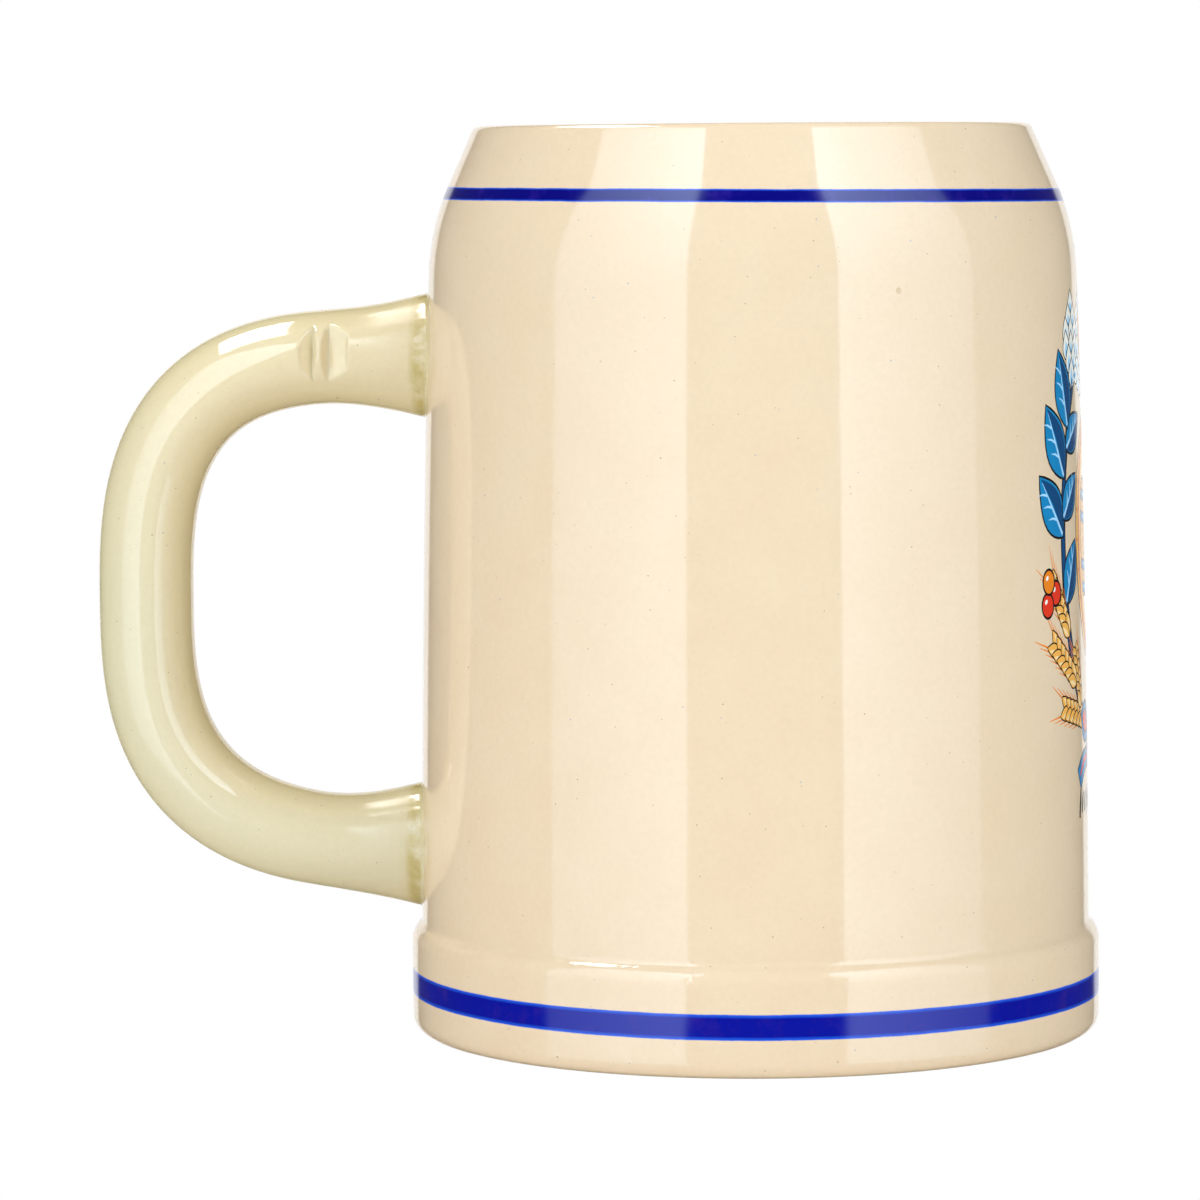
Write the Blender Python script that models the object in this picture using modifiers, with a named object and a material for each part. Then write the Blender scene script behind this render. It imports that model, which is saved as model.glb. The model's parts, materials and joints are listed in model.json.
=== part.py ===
"""A half-litre stoneware beer mug: a thrown body with a foot band and a drawn-in mouth,
and a pulled oval handle luted to it. The two are fired as one piece.

Units are metres. +Z is up, the origin is on the body's axis at the level of the table,
and the handle points to -X.
"""

import math

import bmesh
import bpy
import numpy as np
from mathutils import Euler, Matrix

# Body, outside
HEIGHT = 0.130
BODY_RADIUS = 0.0482
BODY_TAPER = 0.00175
BODY_SWELL = 0.0003
FOOT_BAND_PROJECTION = 0.00145
FOOT_BAND_HEIGHT = 0.0129
FOOT_EDGE_ROUND = 0.0022
BAND_TOP_ROUND = 0.0032
BAND_TOP_FILLET = 0.0014
SHOULDER_AND_NECK_HEIGHT = 0.0212
SHOULDER_ARC_RADIUS = 0.034
NECK_LEAN = math.radians(23.8)

# Body, inside and underneath
WALL = 0.006
LIP_WALL = 0.0045
LIP_OUTER_ROUND = 0.0012
LIP_INNER_ROUND = 0.0016
FLOOR = 0.0075
FLOOR_CORNER_ROUND = 0.008
FOOT_RING_WIDTH = 0.005
RECESS_DEPTH = 0.001
RECESS_SLOPE_WIDTH = 0.0015

# Handle: an oval tube along a squared bow, flared where it meets the body
HANDLE_PROJECTION = 0.0472
HANDLE_THICKNESS = 0.0136
HANDLE_WIDTH = 0.0174
HANDLE_TOP_HEIGHT = 0.0971
HANDLE_BOW_HEIGHT = 0.0616
HANDLE_BOTTOM_HEIGHT = 0.0261
HANDLE_SQUARENESS = 2.83
HANDLE_CURL_TOP = 0.80
HANDLE_CURL_BOTTOM = 0.98
FLARE_THICKNESS = 0.0182
FLARE_WIDTH = 0.0192
FLARE_LENGTH = 0.0165

# The pair of cuts on each side of the handle, where a lid's strap would be clamped
NOTCH_FROM_WALL = 0.0150
NOTCH_RIDGE = 0.0012
NOTCH_DROP = 0.0017
NOTCH_TILT = math.radians(10)
OUTER_CUT_WIDTH = 0.0023
OUTER_CUT_DEPTH = 0.0009
INNER_CUT_WIDTH = 0.0041
INNER_CUT_DEPTH = 0.0011

# Facets
TURNED_STEPS = 64
BODY_SPANS = 5
ROUND_SPANS = 3
ARC_SPANS = 5
QUARTER_STEPS = 90
BOW_SPANS = 26
FLARE_SPANS = 6
BEVEL_RESOLUTION = 8

GLAZE_COLOUR = "#F0DFC3"

# Worked out from the sizes above
FOOT_RADIUS = BODY_RADIUS + FOOT_BAND_PROJECTION
SHOULDER_RADIUS = BODY_RADIUS - BODY_TAPER


def clear_scene():
    for old in list(bpy.data.objects):
        bpy.data.objects.remove(old, do_unlink=True)


def linear(hex_colour):
    """An sRGB hex value as linear RGBA."""
    parts = [int(hex_colour[i : i + 2], 16) / 255 for i in (1, 3, 5)]
    rgb = [c / 12.92 if c <= 0.04045 else ((c + 0.055) / 1.055) ** 2.4 for c in parts]
    return (*rgb, 1.0)


def glazed_stoneware():
    """Salt-coloured stoneware under a clear, glossy glaze."""
    material = bpy.data.materials.new("glazed_stoneware")
    material.use_nodes = True
    shader = material.node_tree.nodes["Principled BSDF"]
    shader.inputs["Base Color"].default_value = linear(GLAZE_COLOUR)
    shader.inputs["Roughness"].default_value = 0.12
    shader.inputs["Metallic"].default_value = 0.0
    return material


def arc(centre, radius, start, end, spans):
    """Points (radius, height) on an arc from one angle to another, both ends included."""
    turns = [start + (end - start) * i / spans for i in range(spans + 1)]
    return [(centre[0] + radius * math.cos(t), centre[1] + radius * math.sin(t)) for t in turns]


def step_top():
    """Height and turn of the S-curve that leads from the foot band in to the body."""
    turn = math.acos(1 - FOOT_BAND_PROJECTION / (BAND_TOP_ROUND + BAND_TOP_FILLET))
    return FOOT_BAND_HEIGHT + (BAND_TOP_ROUND + BAND_TOP_FILLET) * math.sin(turn), turn


def shoulder_start():
    return HEIGHT - SHOULDER_AND_NECK_HEIGHT


def body_radius(height):
    """Outer radius of the slightly swelling wall between the foot band and the shoulder."""
    low = step_top()[0]
    share = (height - low) / (shoulder_start() - low)
    swell = 4 * BODY_SWELL * share * (1 - share)
    return BODY_RADIUS - BODY_TAPER * share + swell


def body_lean():
    """How far the wall leans in from upright where the shoulder begins."""
    rise = shoulder_start() - step_top()[0]
    return math.atan((BODY_TAPER + 4 * BODY_SWELL) / rise)


def neck_foot():
    """Radius and height where the shoulder's arc runs out into the straight neck."""
    lean = body_lean()
    inward = SHOULDER_ARC_RADIUS * (math.cos(lean) - math.cos(NECK_LEAN))
    upward = SHOULDER_ARC_RADIUS * (math.sin(NECK_LEAN) - math.sin(lean))
    return SHOULDER_RADIUS - inward, shoulder_start() + upward


def rim_radius():
    """Where the neck's outer face, carried on, would meet the level of the rim."""
    radius, height = neck_foot()
    return radius - (HEIGHT - height) * math.tan(NECK_LEAN)


def shoulder(thickness, lip_thickness):
    """The shoulder's arc, top to bottom, set in by a wall that thins towards the neck."""
    lean = body_lean()
    centre = (
        SHOULDER_RADIUS - SHOULDER_ARC_RADIUS * math.cos(lean),
        shoulder_start() - SHOULDER_ARC_RADIUS * math.sin(lean),
    )
    points = []
    for i in range(ARC_SPANS + 1):
        share = i / ARC_SPANS
        turn = NECK_LEAN + (lean - NECK_LEAN) * share
        set_in = lip_thickness + (thickness - lip_thickness) * share
        radius = SHOULDER_ARC_RADIUS - set_in
        points.append((centre[0] + radius * math.cos(turn), centre[1] + radius * math.sin(turn)))
    return points


def lip():
    """The rim: inner round, a narrow flat, outer round."""
    slope = math.cos(NECK_LEAN)
    lean = math.sin(NECK_LEAN)
    inner_face = rim_radius() - LIP_WALL / slope
    inner = (inner_face + LIP_INNER_ROUND * (1 + lean) / slope, HEIGHT - LIP_INNER_ROUND)
    outer = (rim_radius() - LIP_OUTER_ROUND * (1 - lean) / slope, HEIGHT - LIP_OUTER_ROUND)
    quarter = math.pi / 2
    return arc(inner, LIP_INNER_ROUND, math.pi + NECK_LEAN, quarter, ROUND_SPANS + 1) + arc(
        outer, LIP_OUTER_ROUND, quarter, NECK_LEAN, ROUND_SPANS
    )


def floor_top():
    return RECESS_DEPTH + FLOOR


def inside():
    """The cavity's profile, from the middle of the floor up to the neck."""
    corner_height = floor_top() + FLOOR_CORNER_ROUND
    corner = (body_radius(corner_height) - WALL - FLOOR_CORNER_ROUND, corner_height)
    points = [(0, floor_top())]
    points += arc(corner, FLOOR_CORNER_ROUND, -math.pi / 2, 0, ARC_SPANS)
    rise = shoulder_start() - corner_height
    for i in range(1, BODY_SPANS):
        height = corner_height + rise * i / BODY_SPANS
        points.append((body_radius(height) - WALL, height))
    return points + shoulder(WALL, LIP_WALL)[::-1]


def outside():
    """The outer profile, from the neck down to the foot's edge."""
    points = shoulder(0, 0)
    low, turn = step_top()
    rise = shoulder_start() - low
    for i in range(1, BODY_SPANS + 1):
        height = shoulder_start() - rise * i / BODY_SPANS
        points.append((body_radius(height), height))
    fillet = (BODY_RADIUS + BAND_TOP_FILLET, low)
    points += arc(fillet, BAND_TOP_FILLET, math.pi, math.pi + turn, ROUND_SPANS - 1)[1:]
    band_top = (FOOT_RADIUS - BAND_TOP_ROUND, FOOT_BAND_HEIGHT)
    points += arc(band_top, BAND_TOP_ROUND, turn, 0, ROUND_SPANS)[1:]
    edge = (FOOT_RADIUS - FOOT_EDGE_ROUND, FOOT_EDGE_ROUND)
    return points + arc(edge, FOOT_EDGE_ROUND, 0, -math.pi / 2, ROUND_SPANS)


def underside():
    """The flat foot ring and the shallow recess within it."""
    ring = FOOT_RADIUS - FOOT_EDGE_ROUND - FOOT_RING_WIDTH
    return [(ring, 0), (ring - RECESS_SLOPE_WIDTH, RECESS_DEPTH), (0, RECESS_DEPTH)]


def turned_body(collection):
    """The thrown body, as a profile turned about the Z axis."""
    profile = inside() + lip() + outside() + underside()
    mesh = bpy.data.meshes.new("mug")
    edges = [(i, i + 1) for i in range(len(profile) - 1)]
    mesh.from_pydata([(radius, 0, height) for radius, height in profile], edges, [])
    body = bpy.data.objects.new("mug", mesh)
    collection.objects.link(body)
    screw = body.modifiers.new("Turn", "SCREW")
    screw.steps = screw.render_steps = TURNED_STEPS
    screw.use_merge_vertices = True
    screw.merge_threshold = 0.00001
    return body


def bow_quarter(outermost, level, depth):
    """A quarter of a squared ellipse, from the outermost point to where the bow runs level."""
    points = []
    for i in range(QUARTER_STEPS + 1):
        turn = math.pi / 2 * i / QUARTER_STEPS
        across = math.cos(turn) ** (2 / HANDLE_SQUARENESS)
        along = math.sin(turn) ** (2 / HANDLE_SQUARENESS)
        height = HANDLE_BOW_HEIGHT + (level - HANDLE_BOW_HEIGHT) * along
        points.append((outermost - depth * (1 - across), height))
    return points


def middle_line():
    """Close points along the handle's middle as (distance from the axis, height), top first."""
    outermost = BODY_RADIUS + HANDLE_PROJECTION - HANDLE_THICKNESS / 2
    halves = []
    for level, curl in (
        (HANDLE_TOP_HEIGHT, HANDLE_CURL_TOP),
        (HANDLE_BOTTOM_HEIGHT, HANDLE_CURL_BOTTOM),
    ):
        wall = body_radius(level)
        bow = bow_quarter(outermost, level, curl * (outermost - wall))
        halves.append([(wall, level)] + bow[::-1])
    return np.array(halves[0] + halves[1][-2::-1])


def root_depth(height):
    """Distance from the axis of the handle's end, which is buried in the wall.

    It is halfway between the inner wall and the outer wall at the sides of the flare."""
    radius = body_radius(height)
    return (radius - WALL + math.sqrt(radius**2 - (FLARE_WIDTH / 2) ** 2)) / 2


def handle_rings():
    """The tube's rings as (distance from the axis, height, way along the handle to the wall)."""
    line = middle_line()
    along = np.append(0, np.cumsum(np.linalg.norm(np.diff(line, axis=0), axis=1)))
    flared = np.linspace(0, FLARE_LENGTH, FLARE_SPANS + 1)
    places = np.concatenate((
        flared[:-1],
        np.linspace(FLARE_LENGTH, along[-1] - FLARE_LENGTH, BOW_SPANS + 1),
        along[-1] - flared[-2::-1],
    ))
    rings = [(root_depth(HANDLE_TOP_HEIGHT), HANDLE_TOP_HEIGHT, 0)]
    for place in places:
        distance = np.interp(place, along, line[:, 0])
        height = np.interp(place, along, line[:, 1])
        rings.append((distance, height, min(place, along[-1] - place)))
    return rings + [(root_depth(HANDLE_BOTTOM_HEIGHT), HANDLE_BOTTOM_HEIGHT, 0)]


def flare(to_wall, plain, at_wall):
    """How much the handle has grown in one direction, at a place along it."""
    share = max(1 - to_wall / FLARE_LENGTH, 0)
    return 1 + (at_wall / plain - 1) * share**2


def spread_roots(mesh, rings):
    """Flare the tube towards the wall, up and down more than sideways."""
    for vert in mesh.vertices:
        distance, height, to_wall = min(
            rings, key=lambda ring: math.hypot(vert.co.x + ring[0], vert.co.z - ring[1])
        )
        grown = flare(to_wall, HANDLE_THICKNESS, FLARE_THICKNESS)
        vert.co.x = -distance + (vert.co.x + distance) * grown
        vert.co.z = height + (vert.co.z - height) * grown
        vert.co.y *= flare(to_wall, HANDLE_WIDTH, FLARE_WIDTH)


def as_mesh(curve, collection):
    """A curve object made a mesh in place, with its caps welded on."""
    bpy.context.view_layer.update()
    graph = bpy.context.evaluated_depsgraph_get()
    mesh = bpy.data.meshes.new_from_object(curve.evaluated_get(graph))
    mesh.transform(curve.matrix_world)
    work = bmesh.new()
    work.from_mesh(mesh)
    bmesh.ops.remove_doubles(work, verts=work.verts, dist=0.00001)
    bmesh.ops.recalc_face_normals(work, faces=work.faces)
    work.to_mesh(mesh)
    work.free()
    made = bpy.data.objects.new(curve.name + "_solid", mesh)
    collection.objects.link(made)
    bpy.data.objects.remove(curve, do_unlink=True)
    return made


def handle(collection):
    """The pulled handle: a flared oval tube whose ends are buried in the wall."""
    curve = bpy.data.curves.new("handle", "CURVE")
    curve.dimensions = "3D"
    curve.bevel_depth = HANDLE_THICKNESS / 2
    curve.bevel_resolution = BEVEL_RESOLUTION
    curve.use_fill_caps = True
    rings = handle_rings()
    spline = curve.splines.new("POLY")
    spline.points.add(len(rings) - 1)
    for point, (distance, height, to_wall) in zip(spline.points, rings):
        point.co = (-distance, 0, height, 1)
    made = bpy.data.objects.new("handle", curve)
    made.scale.y = HANDLE_WIDTH / HANDLE_THICKNESS
    collection.objects.link(made)
    solid = as_mesh(made, collection)
    spread_roots(solid.data, rings)
    return solid


def notch_cutter(name, side, distance, width, depth, collection):
    """An upright bar of diamond section whose edge cuts a V across one side of the handle."""
    mesh = bpy.data.meshes.new(name)
    work = bmesh.new()
    bmesh.ops.create_cone(
        work, cap_ends=True, segments=4, radius1=1, radius2=1, depth=HANDLE_THICKNESS
    )
    bmesh.ops.transform(work, matrix=Matrix.Diagonal((width / 2, depth, 1, 1)), verts=work.verts)
    work.to_mesh(mesh)
    work.free()
    cutter = bpy.data.objects.new(name, mesh)
    cutter.location = (-distance, side * HANDLE_WIDTH / 2, HANDLE_TOP_HEIGHT - NOTCH_DROP)
    cutter.rotation_euler = Euler((side * NOTCH_TILT, 0, 0))
    collection.objects.link(cutter)
    return cutter


def notches(collection):
    """The two cuts beside a narrow ridge, on both sides of the handle."""
    ridge = body_radius(HANDLE_TOP_HEIGHT) + NOTCH_FROM_WALL
    outer = ridge + (NOTCH_RIDGE + OUTER_CUT_WIDTH) / 2
    inner = ridge - (NOTCH_RIDGE + INNER_CUT_WIDTH) / 2
    for side, place in ((-1, "near"), (1, "far")):
        notch_cutter(
            f"outer_cut_{place}", side, outer, OUTER_CUT_WIDTH, OUTER_CUT_DEPTH, collection
        )
        notch_cutter(
            f"inner_cut_{place}", side, inner, INNER_CUT_WIDTH, INNER_CUT_DEPTH, collection
        )


def hide_helpers(collection):
    for helper in collection.objects:
        helper.hide_render = True
        helper.display_type = "WIRE"


def new_collection(name):
    collection = bpy.data.collections.new(name)
    bpy.context.scene.collection.children.link(collection)
    return collection


def main():
    clear_scene()
    mug_parts = new_collection("beer_mug")
    joined = new_collection("handle_parts")
    cutters = new_collection("cutters")

    mug = turned_body(mug_parts)
    luted = handle(joined)
    notches(cutters)

    union = mug.modifiers.new("Lute the handle on", "BOOLEAN")
    union.operation = "UNION"
    union.object = luted
    cut = mug.modifiers.new("Cut the notches", "BOOLEAN")
    cut.operation = "DIFFERENCE"
    cut.operand_type = "COLLECTION"
    cut.collection = cutters
    mug.data.materials.append(glazed_stoneware())
    hide_helpers(joined)
    hide_helpers(cutters)


main()
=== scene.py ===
# %% [markdown]
# A half-litre beer mug in salt-coloured stoneware. On the real object the body is thrown or
# jiggered, the handle is pulled and luted on while the clay is wet, two cobalt lines are banded
# on, and a printed transfer is fired on the front. This file dresses the plain solid from the
# frame: it makes a fine mesh with the same outline, and the glaze, the cobalt and the inks.

import json
import math

import bmesh
import bpy
import numpy as np
from mathutils import Matrix, Vector
from mathutils.geometry import delaunay_2d_cdt

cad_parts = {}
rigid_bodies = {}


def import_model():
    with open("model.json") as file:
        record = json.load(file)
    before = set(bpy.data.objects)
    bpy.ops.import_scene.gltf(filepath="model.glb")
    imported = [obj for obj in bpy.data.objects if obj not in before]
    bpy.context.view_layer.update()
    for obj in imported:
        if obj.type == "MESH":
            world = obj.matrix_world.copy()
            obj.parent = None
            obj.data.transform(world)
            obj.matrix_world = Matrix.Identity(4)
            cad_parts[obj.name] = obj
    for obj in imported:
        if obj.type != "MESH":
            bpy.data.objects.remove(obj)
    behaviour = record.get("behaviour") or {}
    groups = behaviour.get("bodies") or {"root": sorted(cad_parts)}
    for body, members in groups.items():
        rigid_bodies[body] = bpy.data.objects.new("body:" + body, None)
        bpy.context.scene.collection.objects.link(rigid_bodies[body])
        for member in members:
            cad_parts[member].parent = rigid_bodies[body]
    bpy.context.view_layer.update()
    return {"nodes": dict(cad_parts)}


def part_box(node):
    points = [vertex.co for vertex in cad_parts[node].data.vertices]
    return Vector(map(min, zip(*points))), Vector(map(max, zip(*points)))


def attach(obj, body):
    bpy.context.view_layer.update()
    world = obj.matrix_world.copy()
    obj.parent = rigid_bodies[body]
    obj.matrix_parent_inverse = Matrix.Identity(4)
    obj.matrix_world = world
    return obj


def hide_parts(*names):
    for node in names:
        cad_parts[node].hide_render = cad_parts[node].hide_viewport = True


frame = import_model()
NODE = "mug"
node_low, node_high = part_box(NODE)
print("nodes:", sorted(frame["nodes"]), "box:", tuple(node_low), tuple(node_high))

# %% [markdown]
# Blender measures in metres, and a potter in millimetres. Each size below is written in
# millimetres and turned to metres once. The overall sizes come from the frame, so that the fine
# mesh can't drift away from the solid that it dresses.

# %% Sizes of the body
MM = 0.001
HEIGHT = node_high.z
FOOT_RADIUS = node_high.y
FOOT_BAND_PROJECTION = 1.45 * MM
BODY_RADIUS = FOOT_RADIUS - FOOT_BAND_PROJECTION
BODY_TAPER = 1.75 * MM
BODY_SWELL = 0.3 * MM
FOOT_BAND_HEIGHT = 12.9 * MM
FOOT_EDGE_ROUND = 2.2 * MM
BAND_TOP_ROUND = 3.2 * MM
BAND_TOP_FILLET = 1.4 * MM
SHOULDER_START = HEIGHT - 21.2 * MM
SHOULDER_RADIUS = BODY_RADIUS - BODY_TAPER
SHOULDER_ARC_RADIUS = 34 * MM
NECK_LEAN = math.radians(23.8)
WALL = 6 * MM
LIP_WALL = 4.5 * MM
LIP_OUTER_ROUND = 1.2 * MM
LIP_INNER_ROUND = 1.6 * MM
FLOOR_TOP = 8.5 * MM
FLOOR_CORNER_ROUND = 8 * MM
FOOT_RING_WIDTH = 5 * MM
RECESS_DEPTH = 1 * MM
RECESS_SLOPE_WIDTH = 1.5 * MM
print(f"body {2000 * BODY_RADIUS:.1f} mm across, {1000 * HEIGHT:.1f} mm high")

# %% [markdown]
# The outer wall is one smooth line from the foot to the lip: an almost straight wall with a
# slight swell, an arc for the shoulder, and a straight neck that leans in. It is written as a
# radius for a height, because the handle's roots and the print have to land exactly on it.

# %% The wall as a radius for a height
STEP_TURN = math.acos(1 - FOOT_BAND_PROJECTION / (BAND_TOP_ROUND + BAND_TOP_FILLET))
WALL_START = FOOT_BAND_HEIGHT + (BAND_TOP_ROUND + BAND_TOP_FILLET) * math.sin(STEP_TURN)
WALL_LEAN = math.atan((BODY_TAPER + 4 * BODY_SWELL) / (SHOULDER_START - WALL_START))
ARC_CENTRE = (
    SHOULDER_RADIUS - SHOULDER_ARC_RADIUS * math.cos(WALL_LEAN),
    SHOULDER_START - SHOULDER_ARC_RADIUS * math.sin(WALL_LEAN),
)
NECK_START = ARC_CENTRE[1] + SHOULDER_ARC_RADIUS * math.sin(NECK_LEAN)
NECK_RADIUS = ARC_CENTRE[0] + SHOULDER_ARC_RADIUS * math.cos(NECK_LEAN)
RIM_RADIUS = NECK_RADIUS - (HEIGHT - NECK_START) * math.tan(NECK_LEAN)


def wall_radius(height):
    """Outer radius anywhere between the foot band and the lip."""
    if height > NECK_START:
        return NECK_RADIUS - (height - NECK_START) * math.tan(NECK_LEAN)
    if height > SHOULDER_START:
        rise = height - ARC_CENTRE[1]
        return ARC_CENTRE[0] + math.sqrt(SHOULDER_ARC_RADIUS**2 - rise**2)
    share = (height - WALL_START) / (SHOULDER_START - WALL_START)
    return BODY_RADIUS - BODY_TAPER * share + 4 * BODY_SWELL * share * (1 - share)


def wall_point(turn, height):
    radius = wall_radius(height)
    return Vector((radius * math.cos(turn), radius * math.sin(turn), height))


def wall_normal(turn, height):
    step = 0.05 * MM
    slope = (wall_radius(height + step) - wall_radius(height - step)) / (2 * step)
    return Vector((math.cos(turn), math.sin(turn), -slope)).normalized()


print(f"neck from {1000 * NECK_START:.1f} mm up, rim {2000 * RIM_RADIUS:.1f} mm across")

# %% [markdown]
# The whole profile goes once round the clay: middle of the floor, up the inside, over the lip,
# down the outside, round the foot and back to the axis underneath. Where the wall carries the
# print or the handle its rows are evenly spaced, so that those places can be cut out by row.

# %% The turned profile
WALL_ROWS = 30
SHOULDER_ROWS = 10
NECK_ROWS = 5


def arc(centre, radius, start, end, spans):
    turns = np.linspace(start, end, spans + 1)
    return [(centre[0] + radius * math.cos(t), centre[1] + radius * math.sin(t)) for t in turns]


def rows_between(low, high, count):
    return list(np.linspace(low, high, count + 1))


def lip_profile():
    slope, lean = math.cos(NECK_LEAN), math.sin(NECK_LEAN)
    inner_face = RIM_RADIUS - LIP_WALL / slope
    inner = (inner_face + LIP_INNER_ROUND * (1 + lean) / slope, HEIGHT - LIP_INNER_ROUND)
    outer = (RIM_RADIUS - LIP_OUTER_ROUND * (1 - lean) / slope, HEIGHT - LIP_OUTER_ROUND)
    top = math.pi / 2
    over_inner = arc(inner, LIP_INNER_ROUND, math.pi + NECK_LEAN, top, 10)
    over_outer = arc(outer, LIP_OUTER_ROUND, top, NECK_LEAN, 7)
    middle = [((over_inner[-1][0] + over_outer[0][0]) / 2, HEIGHT)]
    return over_inner + middle + over_outer


LIP = lip_profile()
LIP_START = LIP[-1][1]
WALL_HEIGHTS = (
    rows_between(WALL_START, SHOULDER_START, WALL_ROWS)
    + rows_between(SHOULDER_START, NECK_START, SHOULDER_ROWS)[1:]
    + rows_between(NECK_START, LIP_START, NECK_ROWS)[1:-1]
)


def inside_profile():
    corner_height = FLOOR_TOP + FLOOR_CORNER_ROUND
    corner = (wall_radius(corner_height) - WALL - FLOOR_CORNER_ROUND, corner_height)
    points = [(r, FLOOR_TOP) for r in np.linspace(0, corner[0], 9)[:-1]]
    points += arc(corner, FLOOR_CORNER_ROUND, -math.pi / 2, 0, 10)
    points += [(wall_radius(z) - WALL, z) for z in rows_between(corner_height, SHOULDER_START, 20)[1:-1]]
    for share in np.linspace(1, 0, SHOULDER_ROWS + 1):
        turn = NECK_LEAN + (WALL_LEAN - NECK_LEAN) * share
        radius = SHOULDER_ARC_RADIUS - LIP_WALL - (WALL - LIP_WALL) * share
        points.append((ARC_CENTRE[0] + radius * math.cos(turn), ARC_CENTRE[1] + radius * math.sin(turn)))
    last, lip = points[-1], LIP[0]
    points += [tuple(np.add(last, np.subtract(lip, last) * i / NECK_ROWS)) for i in range(1, NECK_ROWS)]
    return points


def foot_profile():
    fillet = (BODY_RADIUS + BAND_TOP_FILLET, WALL_START)
    points = arc(fillet, BAND_TOP_FILLET, math.pi, math.pi + STEP_TURN, 6)[1:]
    band_top = (FOOT_RADIUS - BAND_TOP_ROUND, FOOT_BAND_HEIGHT)
    points += arc(band_top, BAND_TOP_ROUND, STEP_TURN, 0, 10)[1:]
    points += [(FOOT_RADIUS, z) for z in rows_between(FOOT_BAND_HEIGHT, FOOT_EDGE_ROUND, 5)[1:-1]]
    edge = (FOOT_RADIUS - FOOT_EDGE_ROUND, FOOT_EDGE_ROUND)
    points += arc(edge, FOOT_EDGE_ROUND, 0, -math.pi / 2, 8)
    ring = edge[0] - FOOT_RING_WIDTH
    recess = ring - RECESS_SLOPE_WIDTH
    points += [(ring, 0), (recess, RECESS_DEPTH)]
    return points + [(r, RECESS_DEPTH) for r in np.linspace(recess, 0, 9)[1:]]


profile = inside_profile() + LIP
profile += [(wall_radius(z), z) for z in reversed(WALL_HEIGHTS)]
profile += foot_profile()
print(f"{len(profile)} points in the turned profile")

# %% [markdown]
# A node tree is a recipe for geometry. One small function adds a node, sets its options and feeds
# its sockets, whether with a number or with another node's output. The same function builds the
# materials later, because shader trees and geometry trees take nodes in the same way.

# %% Adding and feeding nodes


def feed(tree, node, inputs):
    """Feed sockets, by name or number, with a value, another socket or a node's first output."""
    for name, value in inputs.items():
        if isinstance(value, bpy.types.Node):
            value = value.outputs[0]
        if isinstance(value, bpy.types.NodeSocket):
            tree.links.new(value, node.inputs[name])
        else:
            node.inputs[name].default_value = value


def add_node(tree, kind, inputs=None, **settings):
    """Add a node to a tree, with its settings, and feed its sockets."""
    node = tree.nodes.new(kind)
    for name, value in settings.items():
        setattr(node, name, value)
    feed(tree, node, inputs or {})
    return node


def new_recipe(name, sizes):
    """A geometry tree with a geometry in, a geometry out and one named input for each size."""
    tree = bpy.data.node_groups.new(name, "GeometryNodeTree")
    tree.interface.new_socket("Geometry", in_out="INPUT", socket_type="NodeSocketGeometry")
    for label, kind in sizes:
        tree.interface.new_socket(label, in_out="INPUT", socket_type=kind)
    tree.interface.new_socket("Geometry", in_out="OUTPUT", socket_type="NodeSocketGeometry")
    return tree, add_node(tree, "NodeGroupInput"), add_node(tree, "NodeGroupOutput")


def finish_recipe(tree, start, end, mesh):
    """Every recipe ends in plain geometry with its material set."""
    smooth = add_node(tree, "GeometryNodeSetShadeSmooth", {"Geometry": mesh})
    real = add_node(tree, "GeometryNodeRealizeInstances", {"Geometry": smooth})
    dressed = add_node(
        tree, "GeometryNodeSetMaterial", {"Geometry": real, "Material": start.outputs["Material"]}
    )
    feed(tree, end, {0: dressed})


def follow_recipe(name, data, tree, values):
    """Run a recipe on an object's data, and give back the plain mesh that it makes."""
    source = bpy.data.objects.new(name, data)
    bpy.context.scene.collection.objects.link(source)
    modifier = source.modifiers.new(tree.name, "NODES")
    modifier.node_group = tree
    for item in tree.interface.items_tree:
        if item.in_out == "INPUT" and item.name in values:
            modifier[item.identifier] = values[item.name]
    bpy.context.view_layer.update()
    graph = bpy.context.evaluated_depsgraph_get()
    mesh = bpy.data.meshes.new_from_object(source.evaluated_get(graph))
    source.modifiers.clear()
    bpy.data.objects.remove(source, do_unlink=True)
    mesh.name = name
    return mesh


# %% [markdown]
# Turning is a rule: every point of the profile visits every angle. The recipe lays out a flat
# grid with one column for each angle and one row for each point of the profile. It then looks
# up the row's radius and height and swings them round by the column's angle. The first and last
# columns meet, and so do the points on the axis, and merging closes them.

# %% A recipe that turns a profile
INTEGER, LENGTH, MATERIAL = "NodeSocketInt", "NodeSocketFloat", "NodeSocketMaterial"


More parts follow.
